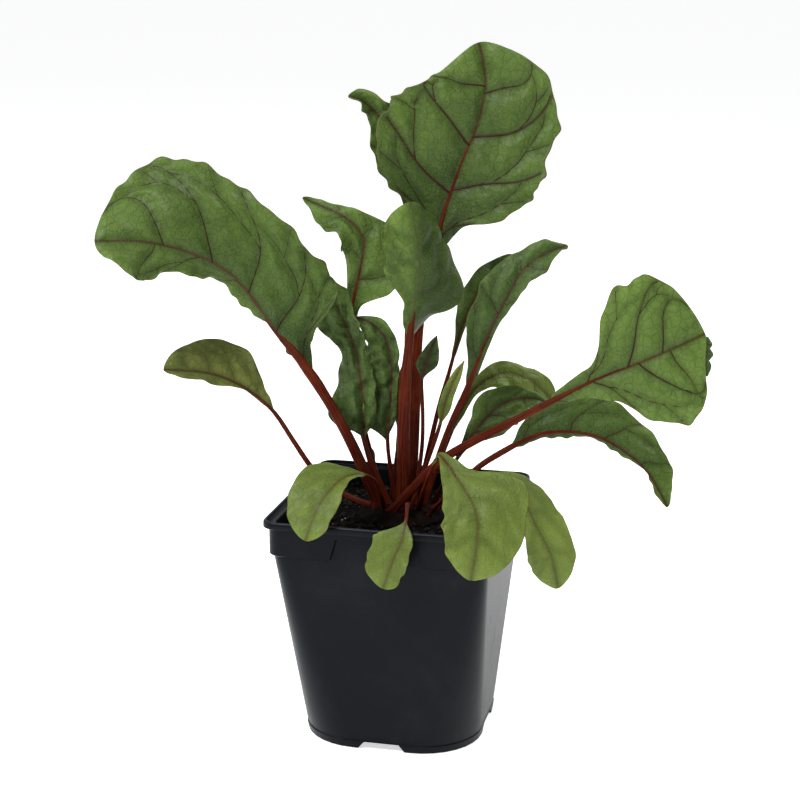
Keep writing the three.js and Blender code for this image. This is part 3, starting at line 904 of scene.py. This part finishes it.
# %% Outlines
# Half widths in mm at fifteen even places from the stalk to the tip: the left side, then the right.
margins = {
    "leaf_tall": ((2, 6, 13, 23, 30, 35, 36, 36, 35, 34, 31, 27, 22, 17, 11),
                  (2, 6, 11, 21, 27, 30, 32, 32, 31, 31, 30, 27, 21, 14, 9)),
    "leaf_tall_back": ((1, 2, 2, 6, 7, 9, 9, 9, 9, 7, 5, 3, 3, 3, 2),
                       (1, 2, 2, 3, 6, 11, 14, 15, 14, 12, 9, 6, 6, 6, 4)),
    "leaf_left_arch": ((2, 2, 3, 3, 4, 4, 5, 6, 8, 8, 10, 14, 16, 15, 11),
                       (4, 6, 12, 28, 30, 30, 28, 29, 30, 33, 34, 36, 31, 24, 15)),
    "leaf_right_fan": ((1, 2, 3, 4, 5, 6, 11, 22, 27, 30, 30, 30, 28, 25, 19),
                       (2, 2, 3, 4, 6, 9, 12, 17, 23, 26, 28, 27, 22, 12, 6)),
    "leaf_right_droop": ((2, 3, 7, 10, 12, 15, 16, 16, 15, 14, 13, 11, 9, 7, 5),
                         (2, 2, 2, 2, 2, 3, 3, 3, 3, 3, 3, 2, 2, 2, 2)),
    "leaf_left_low": ((1, 1, 1, 1, 1, 1, 2, 3, 4, 4, 4, 4, 4, 3, 2),
                      (1, 2, 3, 4, 7, 10, 13, 14, 15, 15, 14, 13, 11, 9, 7)),
    "leaf_rim_right": ((1, 1, 1, 3, 5, 8, 14, 20, 21, 19, 18, 16, 14, 11, 8),
                       (1, 1, 1, 3, 5, 7, 9, 11, 12, 13, 13, 12, 11, 9, 6)),
    "leaf_rim_corner": ((1, 2, 3, 6, 9, 10, 11, 12, 12, 12, 12, 11, 10, 8, 6),
                        (1, 1, 1, 2, 3, 4, 5, 6, 7, 9, 10, 10, 9, 7, 5)),
    "leaf_rim_left": ((1, 1, 2, 3, 4, 4, 5, 6, 7, 7, 7, 7, 7, 6, 4),
                      (1, 2, 5, 8, 11, 13, 14, 14, 14, 14, 13, 11, 10, 8, 6)),
    "leaf_rim_front": ((1, 1, 2, 3, 4, 5, 5, 6, 6, 6, 6, 5, 5, 5, 4),
                       (1, 2, 5, 7, 9, 10, 11, 11, 10, 10, 9, 9, 8, 6, 4)),
    "leaf_crinkled": ((1, 7, 13, 14, 12, 9, 8, 6, 6, 8, 11, 10, 8, 6, 3),
                      (1, 3, 5, 6, 6, 6, 5, 5, 6, 7, 8, 7, 6, 5, 3)),
    "leaf_folded": ((1, 5, 9, 11, 11, 11, 11, 10, 9, 9, 10, 9, 7, 5, 3),
                    (1, 1, 2, 3, 3, 3, 3, 3, 3, 4, 4, 4, 4, 3, 2)),
    "leaf_centre": ((2, 3, 4, 4, 7, 11, 13, 14, 14, 13, 13, 13, 12, 11, 9),
                    (2, 4, 8, 13, 18, 21, 21, 18, 16, 14, 14, 13, 13, 11, 8)),
    "leaf_right_upper": ((2, 2, 3, 5, 8, 10, 11, 11, 12, 11, 9, 7, 6, 5, 3),
                         (2, 2, 2, 2, 2, 2, 2, 3, 4, 5, 6, 7, 7, 5, 3)),
    "leaf_pointed": ((1, 2, 3, 3, 4, 5, 7, 9, 10, 9, 7, 9, 8, 5, 2),
                     (1, 2, 3, 6, 13, 17, 18, 16, 12, 7, 5, 4, 3, 3, 2)),
    "leaf_dark_arch": ((1, 1, 2, 3, 4, 5, 7, 8, 8, 7, 6, 5, 4, 3, 2),
                       (1, 1, 2, 4, 6, 8, 10, 10, 10, 10, 8, 7, 5, 4, 2)),
    "leaf_yellow": ((1, 1, 2, 2, 3, 3, 4, 5, 5, 5, 5, 6, 6, 5, 3),
                    (1, 1, 2, 2, 2, 3, 4, 7, 10, 11, 12, 11, 9, 7, 5)),
}
print(len(margins), "of", len(leaf_nodes), "leaves have an outline of their own")

# %% [markdown]
# ## A blade laid flat
# Veins and puffs are easier to place on a flat leaf, in millimetres along and across it, than on the bent
# one. So each blade is measured first: how long it is, and how wide on each side at any place.


# %% Lay a blade flat
class Flat:
    """The blade laid flat: how long it is, and how wide on each side at any place."""

    def __init__(self, bones, margin=None):
        self.bones = bones
        self.dense = np.linspace(bones.blade_at, len(bones.middle) - 1, 240)
        middle = along_rows(bones.middle, self.dense)
        self.along = np.append(0, np.cumsum(np.linalg.norm(np.diff(middle, axis=0), axis=1)))
        self.span = self.along[-1]
        if margin:
            self.half = {side: along_rows(halves, np.linspace(0, len(halves) - 1, len(self.dense)))
                         for side, halves in zip((-1, 1), margin)}
        else:
            self.half = {side: np.linalg.norm(along_rows(edge, self.dense) - middle, axis=1)
                         for side, edge in ((-1, bones.left), (1, bones.right))}
        ending = np.clip((self.along / self.span - 0.84) / 0.16, 0, 1)
        close = np.sqrt(1 - ending**2) if margin else np.sqrt(1 - ending**4)
        opening = 0.08 + 0.92 * smooth_step(self.along, 0, 9)
        for side in (-1, 1):
            self.half[side] = np.maximum(self.half[side], 0.4) * close * opening
        self.most = max(self.half[-1].max(), self.half[1].max())

    def row(self, along):
        return np.interp(along, self.along, self.dense)

    def half_at(self, along, side):
        return np.interp(along, self.along, self.half[side])


flats = {name: Flat(bones, margins.get(name)) for name, bones in skeletons.items()}
print("the longest blade is", round(max(flat.span for flat in flats.values())), "mm long")

# %% [markdown]
# ## Veins
# A chard leaf has one strong midrib, with side veins that leave it alternately left and right, curve towards
# the tip, join one another in arches and fork before the margin. They are laid out flat first, in
# millimetres along and across the leaf, because the same lines then place the raised ribs, the swellings
# between them, the darker colour of the veins and the painted shade of the grooves beside them. Drawing them
# on each finished blade by hand would take far longer.


# %% Lay out the veins
main_share = 0.94
fork_share = 0.95
small_reach = 6


def main_veins(flat, side, dice):
    """Veins that leave the midrib, each as places along, shares of the half width, weight and reach."""
    spacing = max(min(flat.span / 4.5, 19), 5.5)
    mains = []
    start = spacing * dice.uniform(0.1, 0.55)
    while start < flat.span * 0.84:
        reach = flat.half_at(min(start + flat.most * 0.4, flat.span), side)
        if reach > 1.6:
            lean = dice.uniform(0.35, 0.6) * (0.65 + 0.6 * start / flat.span)
            bow = dice.uniform(0.15, 0.4)
            share = np.linspace(0, main_share, 15)
            along = start + reach * (lean * share + bow * share**2.2)
            along = along + 0.5 * np.sin(share * 9 + start)
            weight = 0.5 + 0.5 * min(reach / flat.most, 1) * (1 - 0.4 * start / flat.span)
            mains.append((along, share, weight, reach))
        start += spacing * dice.uniform(0.8, 1.25)
    return mains


def side_veins(flat, side, dice):
    """One side's main veins, the arch from each to the next, a fork off each arch and a first branch."""
    mains = main_veins(flat, side, dice)
    part = np.linspace(0, 1, 9)
    arch = np.sin(part * math.pi)
    veins = []
    for order, (along, share, weight, reach) in enumerate(mains):
        veins.append((side, along, share, weight))
        if reach < small_reach:
            continue
        leave = dice.uniform(0.4, 0.58)
        if order + 1 < len(mains):
            next_along, next_share = mains[order + 1][:2]
            join = dice.uniform(0.7, 0.86)
            first, last = np.interp(leave, share, along), np.interp(join, next_share, next_along)
            link = first + (last - first) * part
            across = leave + (join - leave) * part + arch * 0.06
            veins.append((side, link + arch * 1.2, across, weight * 0.55))
            middle = len(part) // 2
            out = leave + (join - leave) * 0.5 + 0.06
            fork = link[middle] + 1.2 + part * 4
            veins.append((side, fork, out + (fork_share - out) * part, weight * 0.4))
        if order == 0:
            turn = dice.uniform(0.5, 0.62)
            back = np.interp(turn, share, along) - reach * 0.18 * part**1.2
            veins.append((side, back, turn + (fork_share - turn) * part, weight * 0.45))
    return veins


def lay_veins(flat, dice, shown):
    """All the veins that lie on the blade, each as side, places along, shares of the half width, weight."""
    kept = []
    for side, along, share, weight in side_veins(flat, -1, dice) + side_veins(flat, 1, dice):
        good = (along > 0) & (along < flat.span * 0.985)
        if good.sum() > 3:
            kept.append((side, along[good], share[good], weight * shown))
    return kept


print("veins on the tallest leaf:", len(lay_veins(flats["leaf_tall"], np.random.default_rng(1), 1.0)))

# %% [markdown]
# ## Nearness to the veins
# The swellings and the darker colour, the veins' own and the painted shade of the grooves beside them, both
# need to know how far each point of the skin is from a vein. The veins are cut into short straight lines and
# the nearest one counts, in batches that keep memory small.


# %% Distance to the veins
batch = 1500


def distance_to_lines(points, starts, ends, weights):
    """For each point, the least distance to any of the lines, with its weight."""
    best = np.full(len(points), 1e3)
    heavy = np.zeros(len(points))
    step = ends - starts
    square = np.maximum((step**2).sum(1), 1e-9)
    for first in range(0, len(points), batch):
        part = points[first:first + batch, None] - starts
        share = np.clip((part * step).sum(2) / square, 0, 1)
        away = np.linalg.norm(part - share[..., None] * step, axis=2)
        nearest = away.argmin(1)
        best[first:first + batch] = away.min(1)
        heavy[first:first + batch] = weights[nearest]
    return best, heavy


def vein_nearness(grid, flat, veins, shown):
    """For each point of the grid, how far the nearest vein is, in mm, and how strong it is."""
    lines = [(np.array((0, 0)), np.array((flat.span, 0)), min(2.5 * shown, 1.0))]
    for side, run, share, weight in veins:
        spots = np.stack([run, side * share * flat.half_at(run, side)], 1)
        lines += [(first, second, weight) for first, second in zip(spots[:-1], spots[1:])]
    starts, ends, weights = (np.array(column) for column in zip(*lines))
    away, heavy = distance_to_lines(grid.laid.reshape(-1, 2), starts, ends, weights)
    return away.reshape(grid.rows, grid.columns), heavy.reshape(grid.rows, grid.columns)


print("each point finds its nearest vein in batches of", batch)

# %% [markdown]
# ## Blades
# A leaf is a thin blade on a fleshy stalk. Chard blades are savoyed: they grow faster than their veins, so
# the skin puffs up between them and the margin ends up too long and has to wave. A cloth simulation could
# find such a shape but not the same one twice, so the blade is a fine grid that is moved along its own
# normal: puffs between the veins, waves that grow towards the margin, and an uneven outline. Two such
# sheets, a third of a millimetre apart and joined at the margin, make a closed blade.

# %% Grid over a blade
cell_size = 0.75


class Grid:
    """Rows and columns of points over a blade, as it stands and laid flat, and how its upper side faces."""

    def __init__(self, flat):
        self.rows = int(np.clip(flat.span / cell_size, 22, 128))
        self.columns = int(np.clip(flat.most * 2 / cell_size, 12, 110)) // 2 * 2 + 1
        self.ease = 1 - (1 - np.linspace(0, 1, self.rows))**1.3
        self.along = self.ease * flat.span
        self.across = np.linspace(-1, 1, self.columns)
        self.share = np.abs(self.across)[None, :]
        place = flat.row(self.along)
        self.lay(flat, place)
        self.face(along_rows(flat.bones.up, place))

    def lay(self, flat, place):
        """Spreads the points from the midrib to an outline that is a little lobed and nicked."""
        bones, along = flat.bones, self.along
        middle = along_rows(bones.middle, place)
        inner = np.minimum(place, len(bones.middle) - 1.8)
        heart = along_rows(bones.middle, inner)
        arms = {side: unit(along_rows(edge, inner) - heart) * flat.half_at(along, side)[:, None]
                for side, edge in ((-1, bones.left), (1, bones.right))}
        closing = 1 - smooth_step(self.ease, 0.93, 1.0) * 0.25
        self.points = np.zeros((self.rows, self.columns, 3))
        self.laid = np.zeros((self.rows, self.columns, 2))
        for column, share in enumerate(self.across):
            side = -1 if share < 0 else 1
            lobe = 0.035 - 0.07 * np.sqrt(0.97 * np.sin(along * math.pi / 13.0 + 0.8 * side)**2 + 0.03)
            lobe += 0.009 * np.sin(along * 2 * math.pi / 6.1 + side)
            stretch = 1 + lobe * abs(share)**3 * closing * smooth_step(along, 1, 10)
            self.points[:, column] = middle + arms[side] * (abs(share) * stretch)[:, None]
            self.laid[:, column, 0] = along
            self.laid[:, column, 1] = flat.half_at(along, side) * share * stretch

    def face(self, up):
        """Finds which way the upper side faces at each point, and evens that out."""
        down = np.gradient(self.points, axis=0)
        over = np.gradient(self.points, axis=1)
        normal = unit(np.cross(over, down))
        facing = np.sign((normal[:, self.columns // 2] * unit(up)).sum(1))
        facing[facing == 0] = 1
        self.flipped = np.median(facing) < 0
        normal = unit(normal * np.median(facing))
        for _ in range(3):
            normal[1:-1] = unit(normal[1:-1] * 2 + normal[2:] + normal[:-2])
            normal[:, 1:-1] = unit(normal[:, 1:-1] * 2 + normal[:, 2:] + normal[:, :-2])
        self.normal = normal


tall_grid = Grid(flats["leaf_tall"])
print("the tallest leaf has", tall_grid.rows, "rows of", tall_grid.columns, "points")

# %% [markdown]
# ## Puffs and waves
# The skin swells between the veins, and waves more and more towards the margin. The two crinkled leaves by
# the crown get sharper folds as well. One side of a leaf can also bend over, as the long leaf in the middle
# does. Random hills alone would look like crumpled paper, so the veins stay the lowest lines.


# %% Relief of a blade
crinkled_from = 2.2


def blade_relief(grid, flat, away, dice, puff, wave, bent):
    """How far each point stands out from the smooth blade, in mm."""
    s, w, share = grid.laid[..., 0], grid.laid[..., 1], grid.share
    small = min(flat.most / 14, 1)
    swell = 1 - np.exp(-(away / (2.6 * small + 0.35))**2)
    height = puff * small * swell * (1 + 0.25 * ripple(s, w, 7, dice)) * (1 - 0.45 * share**4)
    height += 0.1 * puff * small * ripple(s, w, 3.0, dice)
    turn = 2 * math.pi * s / (17 + 9 * small) + 2.4 * np.sign(w)
    waving = np.sin(turn + 0.5 * ripple(s, w, 16, dice)) * (0.75 + 0.25 * np.sin(s / 9))
    height += wave * small * share**3 * waving
    height += 0.22 * wave * small * share**6 * np.sin(2 * math.pi * s / 6.5 + np.sign(w))
    height += 0.8 * wave * small * ripple(s, w, 22, dice) * (0.25 + 0.75 * share)
    if puff > crinkled_from:
        height += 1.3 * np.abs(ripple(s, w, 8, dice)) + 0.5 * np.abs(ripple(s, w, 3.5, dice))
    height -= bent * np.where(w > 0, share, 0)**1.3
    return height * smooth_step(s, 0, 9) * smooth_step(flat.span - s, 0, 5)


print("a blade is crinkled when it puffs by more than", crinkled_from, "mm")

# %% [markdown]
# ## Closing the blade
# The relief gives one sheet. A copy above and a copy below it, thicker over the veins and thin at the
# margin, are joined by a band of faces, so the blade is solid and shows a paler lower side. What the leaf
# finish needs to know is stored with each point.


# %% Close and store the blade
def sheet_faces(rows, columns):
    """Faces of two sheets of points, the second facing the other way, and of the band that joins them."""
    total = rows * columns
    row, step = np.meshgrid(np.arange(rows - 1), np.arange(columns - 1), indexing="ij")
    corner = (row * columns + step).ravel()
    cell = np.stack([corner, corner + 1, corner + columns + 1, corner + columns], 1)
    faces = cell.tolist() + (cell[:, ::-1] + total).tolist()
    border = [step for step in range(columns)] + [row * columns + columns - 1 for row in range(1, rows)]
    border += [(rows - 1) * columns + step for step in range(columns - 2, -1, -1)]
    border += [row * columns for row in range(rows - 2, 0, -1)]
    for here, after in zip(border, border[1:] + border[:1]):
        faces.append((after, here, here + total, after + total))
    return faces


def blade_numbers(grid, flat, away, heavy, bright, shown, bent):
    """What each point of both sheets tells the leaf finish."""
    s, w = grid.laid[..., 0], grid.laid[..., 1]
    vein = np.exp(-(away / (0.62 + 0.25 * heavy))**2) * (0.2 + 0.65 * heavy)
    # soft is a wide halo round each vein; stored in vein, it makes the finish paint shade in the groove
    # beside the vein.
    soft = np.exp(-(away / 2.6)**2)
    rib = np.exp(-(w / 0.5)**2) * (1 - 0.7 * s / flat.span) * min(2 * shown, 1)
    edge = np.broadcast_to(grid.share, w.shape)
    return {"vein": np.tile(np.maximum(vein, soft * 0.4).ravel(), 2),
            "edge": np.tile(edge.ravel(), 2),
            "under": np.repeat((0.0, 1.0), w.size),
            # Painted shade: bright is lowered on the half of a blade that bends over, so the finish colours
            # it darker.
            "bright": bright - 0.07 * bent * np.tile(smooth_step(w, 0, 3).ravel(), 2),
            "rib": np.tile(rib.ravel(), 2),
            "tipward": np.tile((s / flat.span).ravel(), 2)}


def make_blade(parts, flat, veins, dice, puff, wave, bright, shown, bent):
    """Adds the closed blade to the parts, and gives back its grid with the relief in it."""
    grid = Grid(flat)
    away, heavy = vein_nearness(grid, flat, veins, shown)
    relief = blade_relief(grid, flat, away, dice, puff, wave, bent)
    grid.points = grid.points + grid.normal * relief[..., None]
    thick = (0.3 + 0.25 * np.exp(-(away / 1.6)**2) * heavy) * (1 - 0.45 * grid.share**8)
    half = grid.normal * (thick / 2)[..., None]
    sheets = np.concatenate([(grid.points + half).reshape(-1, 3), (grid.points - half).reshape(-1, 3)])
    faces = sheet_faces(grid.rows, grid.columns)
    if grid.flipped:
        faces = [face[::-1] for face in faces]
    parts.add(sheets, faces, 0, **blade_numbers(grid, flat, away, heavy, bright, shown, bent))
    return grid


print("the tallest blade has", len(sheet_faces(tall_grid.rows, tall_grid.columns)), "faces")

# %% [markdown]
# ## Stalks and ribs
# The stalk is fleshy, flat or slightly channelled on its upper side and ribbed lengthwise, and it runs on
# into the blade as the midrib. A curve with a bevel would give a round wire, so the stalk is a tube built
# row by row, with its own width and height at each row. The side veins are thin tubes, half sunk.


# %% Tubes along a path
def tube(path, side, up, wide, high, around=12, channel=0.0, ridges=0.0):
    """A closed tube along a path. Its upper half is flatter, and channel hollows it."""
    angle = np.arange(around) / around * 2 * math.pi
    out, rise = np.cos(angle), np.sin(angle)
    rise = np.where(rise > 0, rise * 0.72, rise)
    hollow = channel * np.exp(-(out / 0.42)**2) * (rise > 0)
    ring = 1 + ridges * np.sin(angle * 7 + 0.7)
    offset = side[:, None] * (out * ring * wide[:, None])[..., None]
    offset = offset + up[:, None] * ((rise * ring - hollow) * high[:, None])[..., None]
    return closed_rings(path[:, None] + offset)


def frames_along(path, up):
    """The sideways and the upward direction at each point of a path."""
    along = unit(np.gradient(path, axis=0))
    side = unit(np.cross(along, up))
    return side, unit(np.cross(side, along))


print("tubes can be hollowed along the top and ridged")

# %% [markdown]
# ## Stalk and midrib
# On the plant, stalk and midrib are one piece, so one tube makes both: it starts a little inside the crown,
# keeps the CAD stalk's width, and thins to nothing under the blade. Two tubes would show a joint.


# %% Stalk with its midrib
def ease_rows(rows, first):
    """Each row from the first on drawn a little towards its neighbours."""
    rows[first:-1] = (rows[first:-1] * 2 + rows[first + 1:] + rows[first - 1:-2]) / 4


def make_stalk(parts, flat, grid, stands):
    """The stalk and, without a break, the midrib that it becomes. Gives back its width at the blade."""
    bones = flat.bones
    steps = max(int(bones.length[bones.blade_at] / 1.6), 6)
    place = np.linspace(0, bones.blade_at, steps, endpoint=False)
    path = along_rows(bones.middle, place)
    up = along_rows(bones.up, place)
    stalk_wide = np.maximum(along_rows(bones.width, place), 0.5)
    stalk_high = np.maximum(along_rows(bones.depth, place), 0.5)
    narrow = min(bones.width[bones.blade_at], bones.width[1])
    stalk_wide = np.minimum(stalk_wide, narrow + (bones.width[0] - narrow) * (1 - place / bones.blade_at))
    rib, rib_up = grid.points[2::2, grid.columns // 2], grid.normal[2::2, grid.columns // 2]
    share = grid.along[2::2] / flat.span
    sink = 0.1 + 0.5 * (0.4 + stalk_high[-1] * (1 - share)) * smooth_step(share, stands, stands + 0.35)
    rib = rib - rib_up * sink[:, None]
    foot_down = unit(path[:1] - path[1:2])
    low = np.concatenate([path[:1] + foot_down * 2.6, path[:1] + foot_down * 1.2])
    path = np.concatenate([low, path, rib[:-1]])
    up = np.concatenate([up[:1], up[:1], up, rib_up[:-1]])
    taper = (1 - share[:-1])**1.25
    wide = np.concatenate([stalk_wide[:1] * (1.5, 1.3), stalk_wide,
                           0.35 + (stalk_wide[-1] * (0.65 + 0.35 * taper**4) - 0.35) * taper])
    high = np.concatenate([stalk_high[:1] * (1.35, 1.2), stalk_high,
                           0.4 + (stalk_high[-1] * 0.95 - 0.4) * taper])
    for _ in range(4):
        up[1:-1] = unit(up[1:-1] * 2 + up[2:] + up[:-2])
        ease_rows(wide, 2)
        ease_rows(high, 2)
    side, up = frames_along(path, unit(up))
    around = 16
    tube_points, faces = tube(path, side, up, wide, high, around, 0.2, 0.025)
    run = np.append(0, np.cumsum(np.linalg.norm(np.diff(path, axis=0), axis=1)))
    run = run / run[-1]
    stored = {"along": np.append(np.repeat(run, around), (0, 1)),
              "around": np.append(np.tile(np.abs(np.arange(around) / around * 2 - 1), len(path)), (0, 0))}
    parts.add(tube_points, faces, 1, **stored)
    return wide[len(stalk_wide) + 2]


print("a stalk starts inside the crown and ends under the blade's tip")

# %% [markdown]
# ## Raised side veins and a rolled margin
# The strong side veins stand up as fine ribs, so each is a thin tube, half sunk in the blade; the weak ones
# are colour only. One leaf has the end of its far margin rolled back in puckers that show its lower side.


# %% Ribs and a rolled margin
thinnest_weight = 0.2


def between_cells(grid, row, column):
    """Reads the grid's points and directions at places between its rows and columns."""
    r = np.minimum(row.astype(int), grid.rows - 2)
    c = np.minimum(column.astype(int), grid.columns - 2)
    fr, fc = (row - r)[:, None], (column - c)[:, None]
    return [(values[r, c] * (1 - fc) + values[r, c + 1] * fc) * (1 - fr)
            + (values[r + 1, c] * (1 - fc) + values[r + 1, c + 1] * fc) * fr
            for values in (grid.points, grid.normal)]


def make_ribs(parts, grid, veins, thickest):
    """Side veins as fine tapering tubes, half sunk in the blade."""
    around = 8
    for side, run, share, weight in veins:
        if weight < thinnest_weight:
            continue
        finer = np.linspace(0, len(run) - 1, len(run) * 3)
        run = along_rows(run, finer)
        share = along_rows(share, finer) * side
        row = np.interp(run, grid.along, np.arange(grid.rows))
        column = np.interp(share, grid.across, np.arange(grid.columns))
        path, up = between_cells(grid, row, column)
        path[1:-1] = (path[1:-1] * 2 + path[2:] + path[:-2]) / 4
        reach = np.linspace(0, 1, len(run))
        size = np.clip(thickest * 0.27, 0.2, 0.5) * weight * (1 - 0.6 * reach) + 0.08
        away, up = frames_along(path, unit(up))
        points, faces = tube(path + up * 0.06, away, up, size, size * 1.25, around)
        parts.add(points, faces, 2, along=np.append(np.repeat(reach, around), (0, 1)))


def roll_margin(parts, grid):
    """The last of one margin rolled back on itself, in puckers that show the lower side."""
    first = int(grid.rows * 0.84)
    steps = 44
    finer = np.linspace(0, grid.rows - first - 1, steps)
    edge = along_rows(grid.points[first:, -1], finer)
    up = along_rows(grid.normal[first:, -1], finer)
    inward = unit(grid.points[first, 0] - grid.points[first, -1])
    share = np.linspace(0, 1, steps)
    pucker = 0.3 + (0.7 + 2.1 * np.abs(np.sin(share * math.pi * 3))) * np.sin(share * math.pi)**0.4
    path = edge - up * pucker[:, None] * 0.75 - inward * 1.3
    side, up = frames_along(path, up)
    points, faces = tube(path, side, up, pucker, pucker, 14)
    parts.add(points, faces, 0, under=1.0, tipward=0.1, edge=0.3)


print("veins heavier than", thinnest_weight, "are raised")

# %% [markdown]
# ## Growing the leaves
# The large upper leaves are strongly veined and wavy, the two by the crown crinkled, and the small ones on
# the rim nearly flat. A few numbers per leaf say so; dice with a fixed seed supply the rest, so that the
# plant comes out the same every time.

# %% Grow every leaf
record_slots = {part["node"]: part["material_slot"] for part in frame["record"]["subparts"]}
pieces = [(pot_piece, "pot", ["pot"]), (soil_piece, "soil", ["soil"]), (litter_piece, "soil", [])]
# How far each leaf puffs between its veins and waves at its margin, in mm, how fresh its green is, for
# what share of the blade its midrib stands up from it, and how strongly its veins show.
habits = {
    "leaf_tall": (1.9, 2.0, -0.05, 0.8, 1.2), "leaf_left_arch": (1.9, 2.6, 0.0, 0.0, 0.6),
    "leaf_right_fan": (1.3, 1.4, 0.3, 0.7, 1.0), "leaf_crinkled": (3.0, 4.0, 0.3, 0.3, 0.5),
    "leaf_folded": (2.9, 3.6, 0.3, 0.3, 0.5), "leaf_pointed": (1.9, 2.4, 0.25, 0.6, 0.7),
    "leaf_centre": (1.6, 1.9, 0.3, 0.0, 0.2), "leaf_right_droop": (1.5, 1.5, 0.0, 0.9, 0.8),
    "leaf_left_low": (1.0, 1.0, 1.0, 0.6, 0.6), "leaf_rim_right": (1.0, 0.8, 0.0, 0.8, 0.42),
    "leaf_rim_front": (0.7, 0.5, 0.0, 0.9, 0.42), "leaf_rim_corner": (0.8, 0.7, 0.2, 0.7, 0.35),
    "leaf_rim_left": (0.8, 0.7, 0.0, 0.8, 0.42), "leaf_yellow": (1.5, 1.6, 0.1, 0.8, 0.5),
    "leaf_narrow": (0.9, 1.2, 0.0, 0.3, 0.5), "leaf_right_upper": (1.6, 2.0, 0.2, 0.5, 0.7),
}
usual_habit = (1.8, 2.3, 0.0, 0.3, 0.8)
for order, node in enumerate(leaf_nodes):
    dice = np.random.default_rng(100 + order)
    flat = flats[node]
    puff, wave, bright, stands, shown = habits.get(node, usual_habit)
    veins = lay_veins(flat, dice, shown)
    # How far one half of the middle leaf bends over, in mm; the same number paints that half darker, as
    # shade.
    bent = 8 if node == "leaf_centre" else 0
    parts = Collector("vein", "edge", "under", "tipward", "bright", "rib", "along", "around")
    grid = make_blade(parts, flat, veins, dice, puff, wave, bright, shown, bent)
    if node == "leaf_right_fan":
        roll_margin(parts, grid)
    thickest = make_stalk(parts, flat, grid, stands)
    make_ribs(parts, grid, veins, thickest)
    slot = record_slots[node]
    grown = parts.build(node.replace("leaf_", "chard_leaf_"), leaf_finishes[slot], red_stalk, dark_vein)
    pieces.append((grown, slot, [node]))
    print(grown.name, slot, parts.count, "points,", len(veins), "veins")

# %% [markdown]
# ## The crown
# Where the stalks meet, the crown is a short fleshy knob, wrapped in the bases of old leaves. It is a low
# dome whose surface rises in a lump under each stalk, so that each stalk seems to grow out of it.


# %% Crown
crown_radius = (crown_high[0] - crown_low[0]) / 2
crown_rings = []
feet = np.array([bones.middle[0] for bones in skeletons.values()])
angles = np.linspace(0, 2 * math.pi, 120, endpoint=False)
for share in np.concatenate([[1.0, 1.02], np.linspace(1.0, 0.03, 40)]):
    x, y = np.cos(angles) * crown_radius * share, np.sin(angles) * crown_radius * share
    rise = (crown_high[2] - crown_low[2]) * np.sqrt(max(1.02 - share * share, 0)) * 0.85
    lump = np.zeros(len(angles))
    for foot in feet:
        lump = np.maximum(lump, np.exp(-((x - foot[0])**2 + (y - foot[1])**2) / 5.5))
    grooves = 0.35 * np.sin(angles * 13 + share * 9) * share
    crown_rings.append(np.stack([x, y, crown_low[2] + rise + lump * 1.1 + grooves], 1))
crown_rings[0][:, 2] = crown_low[2] - 1.0
crown_parts = Collector()
crown_parts.add(*closed_rings(crown_rings))
crown_piece = crown_parts.build("crown_knob", crown_skin)
pieces.append((crown_piece, "crown", ["crown"]))
print("crown", round(crown_radius), "mm in radius, with", len(feet), "stalks on it")

# %% [markdown]
# ## Join the pieces to the frame
# Each piece rides on the frame's only body, and the CAD solids that it stands for are hidden.

# %% Ride and replace
for piece, slot, nodes in pieces:
    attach(piece, "root")
    if nodes:
        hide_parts(*nodes)
